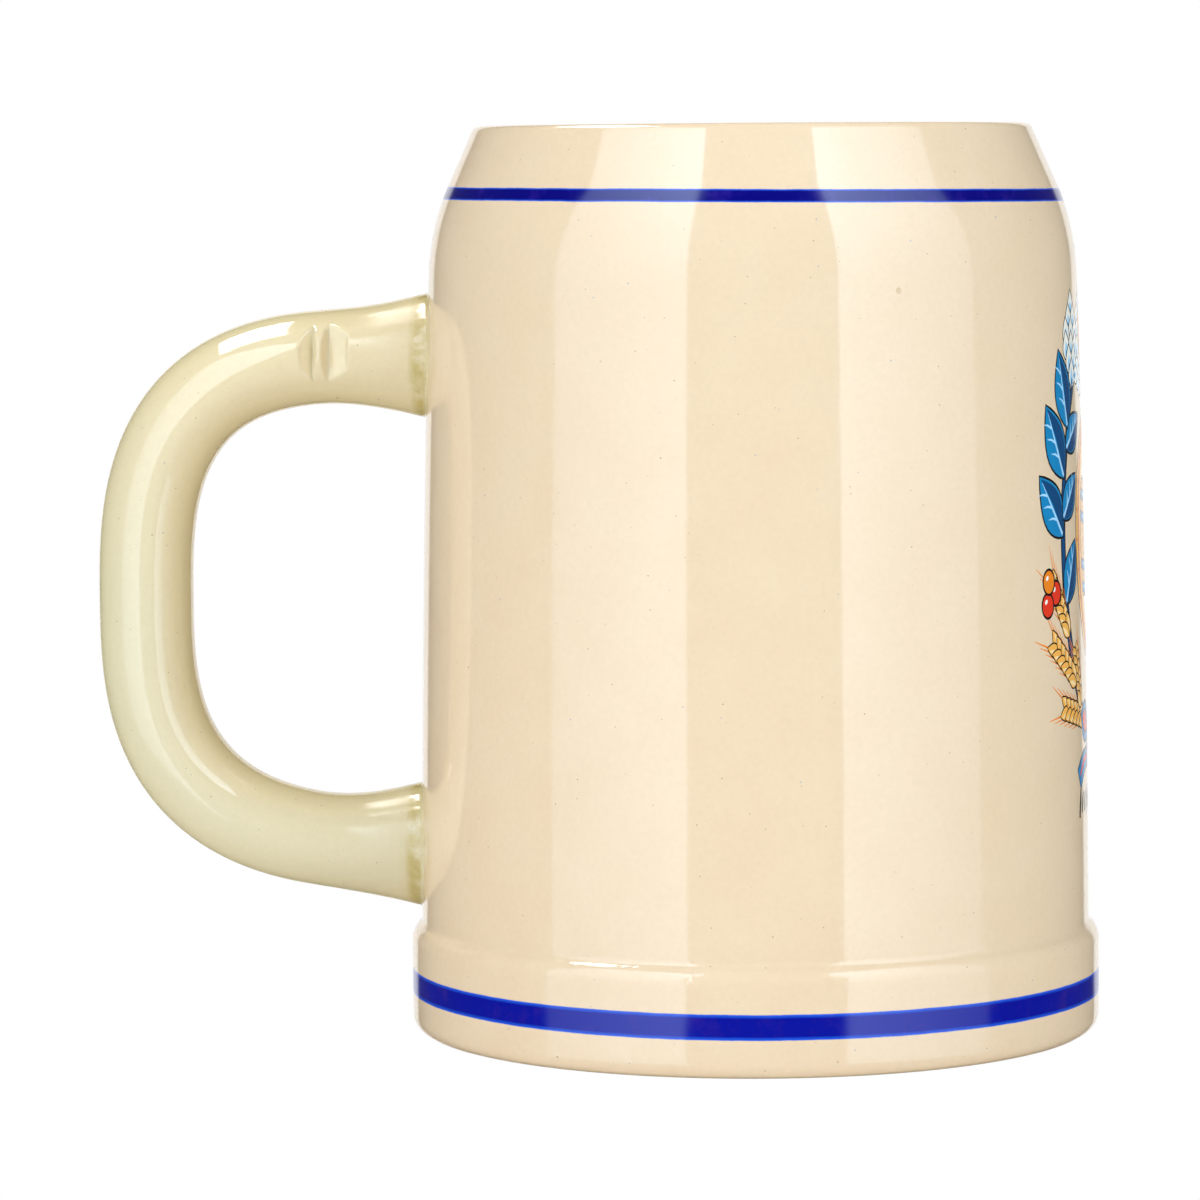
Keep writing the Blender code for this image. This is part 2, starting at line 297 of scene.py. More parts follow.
def turning_recipe():
    tree, start, end = new_recipe(
        "Turn a profile", [("Steps", INTEGER), ("Points", INTEGER), ("Material", MATERIAL)]
    )
    steps, points = start.outputs["Steps"], start.outputs["Points"]
    columns = add_node(tree, "ShaderNodeMath", {0: steps, 1: 1.0}, operation="ADD")
    grid = add_node(tree, "GeometryNodeMeshGrid", {"Vertices X": columns, "Vertices Y": points})
    index = add_node(tree, "GeometryNodeInputIndex")
    row = add_node(tree, "ShaderNodeMath", {0: index, 1: points}, operation="MODULO")
    share = add_node(tree, "ShaderNodeMath", {0: index, 1: points}, operation="DIVIDE")
    column = add_node(tree, "ShaderNodeMath", {0: share}, operation="FLOOR")
    part_turn = add_node(tree, "ShaderNodeMath", {0: column, 1: steps}, operation="DIVIDE")
    turn = add_node(tree, "ShaderNodeMath", {0: part_turn, 1: -2 * math.pi}, operation="MULTIPLY")
    place = add_node(tree, "GeometryNodeInputPosition")
    found = add_node(
        tree, "GeometryNodeSampleIndex",
        {"Geometry": start.outputs["Geometry"], "Value": place, "Index": row},
        data_type="FLOAT_VECTOR",
        domain="POINT",
    )
    swung = add_node(
        tree, "ShaderNodeVectorRotate", {"Vector": found, "Angle": turn}, rotation_type="Z_AXIS"
    )
    moved = add_node(
        tree, "GeometryNodeSetPosition", {"Geometry": grid.outputs["Mesh"], "Position": swung}
    )
    merged = add_node(tree, "GeometryNodeMergeByDistance", {"Geometry": moved, "Distance": 0.005 * MM})
    finish_recipe(tree, start, end, merged)
    return tree


TURN_STEPS = 216
stand_in = bpy.data.materials.new("clay")
profile_line = bpy.data.meshes.new("profile")
profile_line.from_pydata([(r, 0, z) for r, z in profile], [], [])
body_mesh = follow_recipe(
    "thrown_body",
    profile_line,
    turning_recipe(),
    {"Steps": TURN_STEPS, "Points": len(profile), "Material": stand_in},
)
print(f"thrown body: {len(body_mesh.vertices)} points, {len(body_mesh.polygons)} faces")

# %% [markdown]
# The handle was pulled from a tapered lump of clay, so it is an oval tube that swells where it
# is pressed on to the wall. Its middle line leaves the wall level, bends round along a squared
# ellipse and comes back level. A squared ellipse is an ellipse whose exponent is a little over
# two, which makes it fuller in the corners, as a hand-bent handle is.

# %% The handle's middle line
HANDLE_REACH = -node_low.x
HANDLE_THICKNESS = 13.6 * MM
HANDLE_WIDTH = 17.4 * MM
HANDLE_TOP = 97.1 * MM
HANDLE_BOW = 61.6 * MM
HANDLE_BOTTOM = 26.1 * MM
HANDLE_SQUARENESS = 2.83
HANDLE_CURL_TOP = 0.80
HANDLE_CURL_BOTTOM = 0.98
FLARE_THICKNESS = 18.2 * MM
FLARE_WIDTH = 19.2 * MM
FLARE_LENGTH = 16.5 * MM
SLIP_FILLET = 0.6 * MM
HANDLE_START = SLIP_FILLET + 0.3 * MM
FINE_STRETCH = 21 * MM
FINE_SPACING = 0.25 * MM
COARSE_SPACING = 1.2 * MM


def bow_quarter(outermost, level, depth):
    """From the handle's outermost point round to its level stretch."""
    points = []
    for turn in np.linspace(0, math.pi / 2, 200):
        across = math.cos(turn) ** (2 / HANDLE_SQUARENESS)
        along = math.sin(turn) ** (2 / HANDLE_SQUARENESS)
        points.append((outermost - depth * (1 - across), HANDLE_BOW + (level - HANDLE_BOW) * along))
    return points


def middle_line():
    """Distance from the axis and height along the handle, from the top root to the bottom."""
    outermost = HANDLE_REACH - HANDLE_THICKNESS / 2
    ends = []
    for level, curl in ((HANDLE_TOP, HANDLE_CURL_TOP), (HANDLE_BOTTOM, HANDLE_CURL_BOTTOM)):
        root = wall_radius(level)
        bow = bow_quarter(outermost, level, curl * (outermost - root))
        ends.append([(root + HANDLE_START, level)] + bow[::-1])
    line = np.array(ends[0] + ends[1][-2::-1])
    along = np.append(0, np.cumsum(np.linalg.norm(np.diff(line, axis=0), axis=1)))
    fine = np.arange(0, FINE_STRETCH, FINE_SPACING)
    coarse = np.linspace(FINE_STRETCH, along[-1], int((along[-1] - FINE_STRETCH) / COARSE_SPACING))
    places = np.append(fine, coarse)
    return np.interp(places, along, line[:, 0]), np.interp(places, along, line[:, 1]), along[-1]


def closeness(distance, reach):
    """One at no distance, falling to nothing at the reach and beyond."""
    return np.clip(1 - np.asarray(distance) / reach, 0, 1)


line_out, line_up, HANDLE_LENGTH = middle_line()
steps_along = np.linalg.norm(np.diff(np.column_stack((line_out, line_up)), axis=0), axis=1)
distance_along = np.append(0, np.cumsum(steps_along)) + HANDLE_START
distance_to_wall = np.minimum(distance_along, distance_along[-1] + HANDLE_START - distance_along)
print(f"handle's middle line: {1000 * HANDLE_LENGTH:.0f} mm long, {len(line_out)} rings")

# %% [markdown]
# Sweeping an oval along a line is what Curve to Mesh does. The recipe reads how far along the
# line each ring lies and how near that is to either root, and scales the oval there, so that the
# tube flares. The oval's two diameters are inputs, like every other size. A root spreads up and
# down more than sideways, so the points are then drawn in sideways by what is too much.

# %% A recipe that pulls a handle


def pulling_recipe():
    lengths = ("Thickness", "Width", "Flare thickness", "Flare length", "First distance")
    tree, start, end = new_recipe(
        "Pull a handle",
        [("Sides", INTEGER)] + [(name, LENGTH) for name in lengths] + [("Material", MATERIAL)],
    )
    size = start.outputs
    line = add_node(tree, "GeometryNodeSplineParameter")
    whole = add_node(tree, "GeometryNodeSplineLength")
    rest = add_node(
        tree, "ShaderNodeMath",
        {0: whole.outputs["Length"], 1: line.outputs["Length"]},
        operation="SUBTRACT",
    )
    nearest = add_node(
        tree, "ShaderNodeMath", {0: line.outputs["Length"], 1: rest}, operation="MINIMUM"
    )
    from_wall = add_node(
        tree, "ShaderNodeMath", {0: nearest, 1: size["First distance"]}, operation="ADD"
    )
    share = add_node(
        tree, "ShaderNodeMath",
        {0: from_wall, 1: size["Flare length"]},
        operation="DIVIDE",
        use_clamp=True,
    )
    nearness = add_node(tree, "ShaderNodeMath", {0: 1.0, 1: share}, operation="SUBTRACT")
    squared = add_node(tree, "ShaderNodeMath", {0: nearness, 1: 2.0}, operation="POWER")
    swell = add_node(
        tree, "ShaderNodeMath", {0: size["Flare thickness"], 1: size["Thickness"]}, operation="DIVIDE"
    )
    extra = add_node(tree, "ShaderNodeMath", {0: swell, 1: 1.0}, operation="SUBTRACT")
    radius = add_node(tree, "ShaderNodeMath", {0: squared, 1: extra, 2: 1.0}, operation="MULTIPLY_ADD")
    circle = add_node(
        tree, "GeometryNodeCurvePrimitiveCircle", {"Resolution": size["Sides"], "Radius": 0.5}
    )
    oval_size = add_node(
        tree, "ShaderNodeCombineXYZ", {"X": size["Width"], "Y": size["Thickness"], "Z": 1.0}
    )
    oval = add_node(tree, "GeometryNodeTransform", {"Geometry": circle, "Scale": oval_size})
    tube = add_node(
        tree, "GeometryNodeCurveToMesh",
        {"Curve": size["Geometry"], "Profile Curve": oval, "Scale": radius},
    )
    finish_recipe(tree, start, end, tube)
    return tree


HANDLE_SIDES = 120
line_curve = bpy.data.curves.new("middle_line", "CURVE")
line_curve.dimensions = "3D"
line_curve.twist_mode = "MINIMUM"
spline = line_curve.splines.new("POLY")
spline.points.add(len(line_out) - 1)
for point, out, up in zip(spline.points, line_out, line_up):
    point.co = (-out, 0, up, 1)
handle_mesh = follow_recipe(
    "pulled_handle",
    line_curve,
    pulling_recipe(),
    {
        "Sides": HANDLE_SIDES,
        "Thickness": HANDLE_THICKNESS,
        "Width": HANDLE_WIDTH,
        "Flare thickness": FLARE_THICKNESS,
        "Flare length": FLARE_LENGTH,
        "First distance": HANDLE_START,
        "Material": stand_in,
    },
)
rings = np.empty(len(handle_mesh.vertices) * 3)
handle_mesh.vertices.foreach_get("co", rings)
rings = rings.reshape(len(line_out), HANDLE_SIDES, 3)
spread = closeness(distance_to_wall, FLARE_LENGTH) ** 2
taller = 1 + (FLARE_THICKNESS / HANDLE_THICKNESS - 1) * spread
wider = 1 + (FLARE_WIDTH / HANDLE_WIDTH - 1) * spread
rings[..., 1] *= (wider / taller)[:, None]
print("handle spans", rings.reshape(-1, 3).min(0), rings.reshape(-1, 3).max(0))

# %% [markdown]
# A handle that was pulled between thumb and fingers isn't quite an even oval. In the bow it is a
# little egg-shaped, fuller on the inside, where the fingers lay. The difference is under half a
# millimetre, but it turns the reflections along the whole bow.

# %% The egg shape of the bow
EGG_SHARE = 0.1
EGG_START, EGG_FULL = 20 * MM, 35 * MM
middles = np.column_stack((-line_out, np.zeros(len(line_out)), line_up))
along_line = np.gradient(middles, axis=0)
along_line /= np.linalg.norm(along_line, axis=1)[:, None]
inwards = np.column_stack((-along_line[:, 2], np.zeros(len(middles)), along_line[:, 0]))
inside = np.sum((rings - middles[:, None]) * inwards[:, None], axis=2) / (HANDLE_THICKNESS / 2)
in_bow = np.clip((distance_to_wall - EGG_START) / (EGG_FULL - EGG_START), 0, 1)
rings[..., 1] *= 1 + EGG_SHARE * in_bow[:, None] * inside

# %% [markdown]
# With a blunt blade the potter pressed two cuts beside a narrow ridge into both sides of the
# upper bend, as a thumb mark. A straight V cut into a round side comes out leaf-shaped by itself,
# so it is enough to stop each point of the tube at the two slopes of the V. A cut has its side of
# the ridge, its width, its depth and how strongly glaze pools in it.

# %% The thumb marks in the handle
NOTCH_FROM_WALL = 15.0 * MM
NOTCH_RIDGE = 0.8 * MM
NOTCH_DROP = 1.9 * MM
NOTCH_TILT = math.radians(10)
NOTCH_STEEP_SHARE = 0.22
CUTS = ((1, 2.4 * MM, 1.25 * MM, 1.0), (-1, 3.9 * MM, 1.3 * MM, 0.3))


def press_cut(points, side, width, depth):
    """Move the points of the tube that stand out of one V back on to its slopes: a steep one by
    the ridge, and a long one away from it. Gives back how near each is to the V's bottom."""
    ridge = wall_radius(HANDLE_TOP) + NOTCH_FROM_WALL
    share = (side * (-points[..., 0] - ridge) - NOTCH_RIDGE / 2) / width
    up = points[..., 2] - HANDLE_TOP + NOTCH_DROP
    deep = np.minimum(share / NOTCH_STEEP_SHARE, (1 - share) / (1 - NOTCH_STEEP_SHARE))
    limit = HANDLE_WIDTH / 2 - (depth * deep + math.sin(NOTCH_TILT) * up) / math.cos(NOTCH_TILT)
    out = np.abs(points[..., 1])
    near = (deep > 0) & (np.abs(up) < HANDLE_THICKNESS) & (out > limit)
    points[..., 1] -= np.sign(points[..., 1]) * np.where(near, out - limit, 0)
    return np.where(near, np.clip(deep * 2.5 - 1.5, 0, 1), 0)


groove = np.zeros(rings.shape[:2])
for side, width, depth, pool in CUTS:
    groove = np.maximum(groove, pool * press_cut(rings, side, width, depth))
print(f"{np.count_nonzero(groove)} points pressed in")

# %% [markdown]
# The handle was stuck on with slip, a paste of clay and water, and the seam was wiped with a
# sponge, which leaves a small hollow fillet. Each line along the tube is carried on to the wall.
# A quadratic curve then rounds the corner between the tube and the wall, so the fillet starts
# along the tube and ends along the wall.

# %% The fillet of slip at each root
FILLET_ROWS = 6
HANDLE_TURN = math.pi


def flat_place(points, middle):
    """Distance round the wall from a middle turn, and height, both in millimetres."""
    turns = np.arctan2(points[..., 1], points[..., 0]) - middle
    turns = (turns + math.pi) % (2 * math.pi) - math.pi
    return np.stack((turns * BODY_RADIUS / MM, points[..., 2] / MM), axis=-1)


def on_wall(flat, middle):
    """The wall's points for flat places."""
    return np.array([wall_point(middle + u * MM / BODY_RADIUS, z * MM) for u, z in flat])


def outward(loop):
    """Unit directions that point out of a flat loop."""
    along = np.roll(loop, -1, axis=0) - np.roll(loop, 1, axis=0)
    sideways = np.stack((along[:, 1], -along[:, 0]), axis=1)
    sideways /= np.linalg.norm(sideways, axis=1)[:, None]
    away = np.sum(sideways * (loop - loop.mean(axis=0)), axis=1)
    return sideways * np.sign(away.sum())


def carried_to_wall(ring, before):
    """Where the tube's lines meet the wall, and their directions."""
    ways = ring - before
    ways /= np.linalg.norm(ways, axis=1)[:, None]
    ends = ring.copy()
    for _ in range(6):
        radii = np.hypot(ends[:, 0], ends[:, 1])
        gaps = radii - np.array([wall_radius(z) for z in ends[:, 2]])
        inwards = -(ways[:, 0] * ends[:, 0] + ways[:, 1] * ends[:, 1]) / radii
        ends += ways * (gaps / inwards)[:, None]
    return ends, ways


def root_rows(ring, before):
    """Rows of points from the tube's end to the wall, and the flat loop where they end."""
    corners, ways = carried_to_wall(ring, before)
    loop = flat_place(corners, HANDLE_TURN)
    loop = loop + outward(loop) * SLIP_FILLET / MM
    starts = corners - ways * SLIP_FILLET
    ends = on_wall(loop, HANDLE_TURN)
    rows = [starts]
    for share in np.linspace(0, 1, FILLET_ROWS + 1)[1:]:
        first, last = (1 - share) ** 2, share**2
        rows.append(first * starts + 2 * share * (1 - share) * corners + last * ends)
    return np.array(rows), loop


top_rows, top_loop = root_rows(rings[0], rings[1])
bottom_rows, bottom_loop = root_rows(rings[-1], rings[-2])
print("top root", top_loop.min(0).round(1), top_loop.max(0).round(1), "mm")
print("bottom root", bottom_loop.min(0).round(1), bottom_loop.max(0).round(1), "mm")

# %% [markdown]
# Three kinds of place are cut out of the turned wall and filled again with triangles that follow
# a drawing: the handle's two roots, a small pit that burst in the glaze, and the print. A place
# is laid flat, in millimetres round the wall and in height. There a constrained Delaunay
# triangulation joins the grid's own points to the outlines, and the result is wrapped back on.

# %% Cut a place out of the wall
CLOSE = 0.01 * MM


def place_in_wall(points, faces, middle, half_width, low, high):
    """The faces of a place in the outer wall, its flat points and its outline in order."""
    flat = flat_place(points, middle)
    radii = np.hypot(points[:, 0], points[:, 1])
    wall = np.array([wall_radius(z) for z in points[:, 2]])
    inside = (np.abs(radii - wall) < CLOSE) & (np.abs(flat[:, 0]) <= half_width)
    inside &= (points[:, 2] >= low - CLOSE) & (points[:, 2] <= high + CLOSE)
    taken = {i for i, face in enumerate(faces) if all(inside[v] for v in face)}
    sides = {(a, b) for i in taken for a, b in zip(faces[i], faces[i][1:] + faces[i][:1])}
    following = {a: b for a, b in sides if (b, a) not in sides}
    outline = [next(iter(following))]
    while following[outline[-1]] != outline[0]:
        outline.append(following[outline[-1]])
    inner = {v for i in taken for v in faces[i]} - set(outline)
    return taken, [flat[v] for v in outline], [flat[v] for v in sorted(inner)]


def counter_clockwise(loop):
    loop = np.asarray(loop, dtype=float)
    after = np.roll(loop, -1, axis=0)
    area = np.sum(loop[:, 0] * after[:, 1] - after[:, 0] * loop[:, 1])
    return loop if area > 0 else loop[::-1]


def fill_place(outline, inner, holes=(), areas=()):
    """Triangles between an outline and its holes, with the ink of the topmost area on each."""
    flat, loops = [], []
    for loop in [outline, *holes, *(shape for shape, colour in areas)]:
        loops.append(list(range(len(flat), len(flat) + len(loop))))
        flat.extend(counter_clockwise(loop))
    flat.extend(inner)
    found = delaunay_2d_cdt([Vector(place) for place in flat], [], loops, 1, 1e-4, True)
    places, triangles, sources = found[0], found[2], found[5]
    first_area = 1 + len(holes)
    kept, inks = [], []
    for triangle, source in zip(triangles, sources):
        if source and not any(1 <= loop < first_area for loop in source):
            top = max(source)
            kept.append(list(triangle))
            inks.append(areas[top - first_area][1] if top >= first_area else None)
    return np.array([tuple(place) for place in places]), kept, inks


# %% [markdown]
# Each part of the mug is added to one growing list of points and faces. Five marks go with
# every point, because the glaze differs by place: whether it is on the handle, on the handle's
# inner or outer back, where the glaze ran thick, near a root that was wiped, in the pool at the
# joint, or in a cut.

# %% The growing mesh
MARKS = ("handle", "backs", "wiped", "pooling", "groove")
clay = {name: [] for name in ("points", "faces", "inks", *MARKS)}


def add_clay(points, faces, inks=None, **marks):
    """Add points and faces to the mug. A mark is one number, or one for each point."""
    first = sum(len(batch) for batch in clay["points"])
    clay["points"].append(np.asarray(points, dtype=float))
    clay["faces"].extend([first + v for v in face] for face in faces)
    clay["inks"].extend(inks or [None] * len(faces))
    for name in MARKS:
        clay[name].append(np.broadcast_to(marks.get(name, 0.0), len(points)))


def strip(rows, sides):
    """Quads between neighbouring closed rows of points."""
    quads = []
    for row in range(rows - 1):
        for i in range(sides):
            j = (i + 1) % sides
            a, b = row * sides, (row + 1) * sides
            quads.append([a + i, a + j, b + j, b + i])
    return quads


POOL_REACH = 2.2 * MM
WIPED_REACH = 14 * MM
ring_turns = np.linspace(0, 2 * math.pi, HANDLE_SIDES, endpoint=False)
backs = np.abs(np.sin(ring_turns)) ** 3
pooled = np.minimum(1.5 * closeness(distance_to_wall, POOL_REACH), 1)
wiped = np.sin(math.pi / 2 * closeness(distance_to_wall, WIPED_REACH)) ** 2
add_clay(
    rings.reshape(-1, 3),
    strip(len(rings), HANDLE_SIDES),
    handle=1.0,
    backs=np.tile(backs, len(rings)),
    wiped=np.repeat(wiped, HANDLE_SIDES),
    pooling=np.repeat(pooled, HANDLE_SIDES),
    groove=groove.reshape(-1),
)
for ring, rows in ((rings[0], top_rows), (rings[-1], bottom_rows)):
    belongs = np.append([1.0], 1 - np.linspace(0, 1, FILLET_ROWS + 1) ** 2)
    in_pool = np.append([pooled[0]], np.linspace(0.9, 0.1, FILLET_ROWS + 1))
    add_clay(
        np.concatenate((ring[None], rows)).reshape(-1, 3),
        strip(len(rows) + 1, HANDLE_SIDES),
        handle=np.repeat(belongs, HANDLE_SIDES),
        backs=np.outer(belongs, backs).reshape(-1),
        pooling=np.repeat(in_pool, HANDLE_SIDES),
    )
print(f"handle and slip: {len(clay['faces'])} faces")

# %% [markdown]
# The print is a transfer: a picture on gelatine paper that was slid on to the glaze and fired.
# Such a picture has flat inks with a black key line. Here it is an oval wreath of barley, leaves
# and hops round a barrel, drawn with a few shapes that are used again and again. Each area is
# an outline in millimetres, and a later area covers an earlier one, as paper cut-outs would.

# %% A small drawing kit
KEY_LINE = 0.36
drawing = []


def oval(across, up, count=28):
    turns = np.linspace(0, 2 * math.pi, count, endpoint=False)
    return np.column_stack((across * np.cos(turns), up * np.sin(turns)))


def pointed(length, width, fullest=0.45, count=9):
    """A leaf-like outline along +X, from a round base to a point."""
    along = np.linspace(0, 1, count + 2)[1:-1]
    half = width / 2 * np.sin(math.pi * along ** (math.log(0.5) / math.log(fullest)))
    low = np.column_stack((along * length, -half))
    high = np.column_stack((along * length, half))[::-1]
    return np.concatenate(([[0, 0]], low, [[length, 0]], high))


def band(path, widths):
    """A stroke of changing width along a path."""
    path = np.asarray(path, dtype=float)
    along = np.gradient(path, axis=0)
    along /= np.linalg.norm(along, axis=1)[:, None]
    aside = np.column_stack((-along[:, 1], along[:, 0])) * (np.asarray(widths) / 2).reshape(-1, 1)
    return np.concatenate((path - aside, (path + aside)[::-1]))


def grown(shape, by):
    shape = counter_clockwise(shape)
    before = shape - np.roll(shape, 1, axis=0)
    after = np.roll(shape, -1, axis=0) - shape
    before /= np.linalg.norm(before, axis=1)[:, None]
    after /= np.linalg.norm(after, axis=1)[:, None]
    along = before + after
    along /= np.maximum(np.linalg.norm(along, axis=1), 0.3)[:, None]
    return shape + by * np.column_stack((along[:, 1], -along[:, 0]))


def set_at(shape, at, turn=0.0, mirror=1):
    cosine, sine = math.cos(turn), math.sin(turn)
    moved = np.asarray(shape) @ np.array([[cosine, sine], [-sine, cosine]]) + at
    return moved * (mirror, 1)


def ink(shape, colour, key=0.0):
    """Lay one area of ink, with a black key line round it if it has one."""
    if key:
        drawing.append((grown(shape, key), "black"))
    drawing.append((np.asarray(shape), colour))


# %% [markdown]
# The plants repeat a few strokes. A leaf has a dark half and a light vein, an ear of barley is
# two rows of grains with long bristles, and a hop cone is rows of scales that overlap downwards.

# %% Leaves, ears and cones


def draw_leaf(at, turn, length, mirror):
    width = 0.56 * length
    body = pointed(length, width)
    half = np.concatenate((pointed(length * 0.97, width * 0.9)[:11], [[length * 0.5, -width * 0.06]]))
    vein = band([(0.4, 0), (length * 0.5, 0.12), (length * 0.9, 0)], [0.55, 0.4, 0.08])
    ink(set_at(body, at, turn, mirror), "sky blue", KEY_LINE)
    ink(set_at(half, at, turn, mirror), "deep blue")
    ink(set_at(vein, at, turn, mirror), "pale blue")
    for share in (0.3, 0.5, 0.7):
        path = [(0, 0), (length * 0.09, width * 0.14), (length * 0.15, width * 0.3)]
        rib = band(path, [0.4, 0.3, 0.08])
        base = set_at([(length * share, 0.15)], at, turn)[0]
        ink(set_at(rib, base, turn, mirror), "pale blue")


def draw_ear(at, turn, length, mirror):
    pairs = 6
    starts = [set_at([(length * 0.68 * i / pairs, 0)], at, turn)[0] for i in range(pairs)]
    for start in starts:
        for side in (-1, 1):
            path = [(0.9, side * 0.5), (length * 0.28, side * 1.5), (length * 0.48, side * 2.5)]
            ink(set_at(band(path, [0.34, 0.28, 0.1]), start, turn, mirror), "orange")
    for start in reversed(starts):
        for side in (-1, 1):
            lean = turn + side * 0.36
            ink(set_at(pointed(length * 0.26, 1.9), start, lean, mirror), "gold", 0.22)
            ink(set_at(pointed(length * 0.2, 0.75) + (0.3, side * 0.3), start, lean, mirror), "straw")


def draw_cone(at, turn, length, mirror):
    rows = (1, 2, 3, 3, 2, 1)
    for row, count in enumerate(rows):
        along = length * (1 - (row + 0.9) / len(rows))
        for i in range(count):
            aside = (i - (count - 1) / 2) * length * 0.21
            start = set_at([(along, aside)], at, turn)[0]
            lean = turn + aside * 0.07
            ink(set_at(pointed(length * 0.36, length * 0.27, 0.4), start, lean, mirror), "cream", 0.26)
            ink(set_at(pointed(length * 0.24, length * 0.14), start, lean, mirror), "pale blue")
            ink(set_at(pointed(length * 0.13, length * 0.09), start, lean, mirror), "sky blue")


def draw_berries(at, mirror):
    """Three round berries, with a light glint on each."""
    for aside, up, colour in ((0, 0, "red"), (-2.6, -1.6, "red"), (-2.2, 1.7, "orange")):
        middle = np.add(at, (aside, up))
        ink(set_at(oval(1.6, 1.6, 18), middle, 0, mirror), colour, KEY_LINE)
        ink(set_at(oval(0.45, 0.3, 8), middle + (-0.5, 0.55), 0.6, mirror), "cream")


# %% [markdown]
# The wreath follows an oval. A place on it is found from one turn, and its direction from two
# neighbouring places, so that leaves can lean off the branch to either side. Both branches come
# from the same loop, the right one mirrored. A sprig has its turn, its lean and its length.

# %% The wreath
PRINT_MIDDLE = 71.0
WREATH_ACROSS, WREATH_UP = 17.0, 28.0
SPRIGS = (
    (draw_leaf, ((72, 40, 10), (92, -42, 11.5), (97, 44, 9))),
    (draw_leaf, ((109, -42, 12), (118, 42, 9), (125, -40, 11.5))),
    (draw_ear, ((24, -24, 15), (32, 24, 12), (44, -24, 15.5), (62, -20, 14))),
    (draw_cone, ((140, -34, 11.5), (146, 44, 9), (157, -16, 10.5))),
)


def on_wreath(turn):
    return np.array((-WREATH_ACROSS * math.sin(turn), PRINT_MIDDLE - WREATH_UP * math.cos(turn)))


def wreath_lean(turn):
    ahead = on_wreath(turn + 0.01) - on_wreath(turn - 0.01)
    return math.atan2(ahead[1], ahead[0])


for mirror in (1, -1):
    turns = np.linspace(0.15, 2.75, 40)
    stem = band([on_wreath(turn) for turn in turns], np.linspace(1.8, 0.7, 40))
    ink(stem * (mirror, 1), "deep blue", KEY_LINE)
    for draw, sprigs in SPRIGS:
        for degrees, lean, length in sprigs:
            turn = math.radians(degrees)
            draw(on_wreath(turn), wreath_lean(turn) - math.radians(lean), length, mirror)
    draw_berries(on_wreath(math.radians(78)) + (-3.5, -1), mirror)
print(f"wreath: {len(drawing)} areas of ink")

# %% [markdown]
# In the middle stands a barrel with its hoops, on an oval field with a gold rim. A bow of ribbon
# ties the branches below, a rosette closes them above, and a line of plain strokes runs under
# the whole, where such a mug has its motto.

# %% The barrel, the bow, the rosette and the strokes
FIELD_ACROSS, FIELD_UP = 10.4, 17.2
FIELD_RINGS = (
    (0, "gold"),
    (1.3, "black"),
    (1.6, "orange"),
    (2.3, "gold"),
    (3.4, "straw"),
    (5.2, "cream"),
)
STUDS_INSET = 0.65
BARREL_ACROSS, BARREL_UP = 6.6, 8.2
MIDDLE = np.array((0, PRINT_MIDDLE))


def barrel_half_width(up):
    return BARREL_ACROSS - 1.7 * (up / BARREL_UP) ** 2


def draw_field():
    for inset, colour in FIELD_RINGS:
        shape = oval(FIELD_ACROSS - inset, FIELD_UP - inset, 48)
        ink(set_at(shape, MIDDLE), colour, 0.0 if inset else KEY_LINE)
    for stud in oval(FIELD_ACROSS - STUDS_INSET, FIELD_UP - STUDS_INSET, 24):
        ink(set_at(oval(0.42, 0.42, 8), MIDDLE + stud), "orange")


def draw_barrel():
    ups = np.linspace(-BARREL_UP, BARREL_UP, 13)
    halves = barrel_half_width(ups)
    right = np.column_stack((halves, ups))
    for share, colour, key in ((-1, "gold", KEY_LINE), (0.45, "orange", 0.0)):
        body = np.concatenate((right, (right * (share, 1))[::-1]))
        ink(set_at(body, MIDDLE), colour, key)
    for share in (-0.62, -0.22, 0.2, 0.6):
        seam = band(np.column_stack((halves * share, ups)), np.full(13, 0.26))
        ink(set_at(seam, MIDDLE), "black")
    for up in (-6.6, -3.4, 3.4, 6.6):
        across = np.linspace(-1, 1, 9) * barrel_half_width(up)
        sag = 0.9 * (1 - (across / BARREL_ACROSS) ** 2)
        hoop = np.column_stack((across, up - sag))
        ink(set_at(band(hoop, np.full(9, 1.15)), MIDDLE), "sky blue", 0.24)
        glint = band(hoop[1:5] + (0, 0.2), np.full(4, 0.3))
        ink(set_at(glint, MIDDLE), "pale blue")
    ink(set_at(oval(1.15, 1.15, 16), MIDDLE), "red", KEY_LINE)


def draw_bow(at):
    for mirror in (1, -1):
        tail = band([(-0.5, -0.4), (-3.4, -3.0), (-7.2, -3.4), (-10.6, -5.6)], [1.6, 2.6, 2.8, 3.2])
        stripe = band([(-1.5, -1.4), (-3.6, -2.9), (-7.2, -3.3), (-10.0, -5.1)], [0.5, 0.8, 0.8, 0.5])
        loop = set_at(pointed(9.6, 5.6, 0.62), (0, 0), math.radians(158))
        hollow = set_at(pointed(6.4, 2.9, 0.62), (-1.9, 0.8), math.radians(158))
        parts = ((tail, "sky blue"), (stripe, "red"), (loop, "sky blue"), (hollow, "red"))
        for shape, colour in parts:
            ink(set_at(shape * (mirror, 1), at), colour, 0.0 if shape is stripe else KEY_LINE)
    ink(set_at(oval(1.7, 1.5, 16), at), "gold", KEY_LINE)


def draw_rosette(at):
    for turn in np.linspace(0, 2 * math.pi, 8, endpoint=False):
        ink(set_at(pointed(3.7, 2.6, 0.6) + (0.8, 0), at, turn + 0.2), "gold", KEY_LINE)
        ink(set_at(pointed(2.1, 0.9, 0.6) + (1.1, 0), at, turn + 0.2), "orange")
    ink(set_at(oval(1.5, 1.5, 16), at), "red", KEY_LINE)


draw_field()
draw_barrel()
draw_bow((0, 42.6))
draw_rosette((0, 100.2))

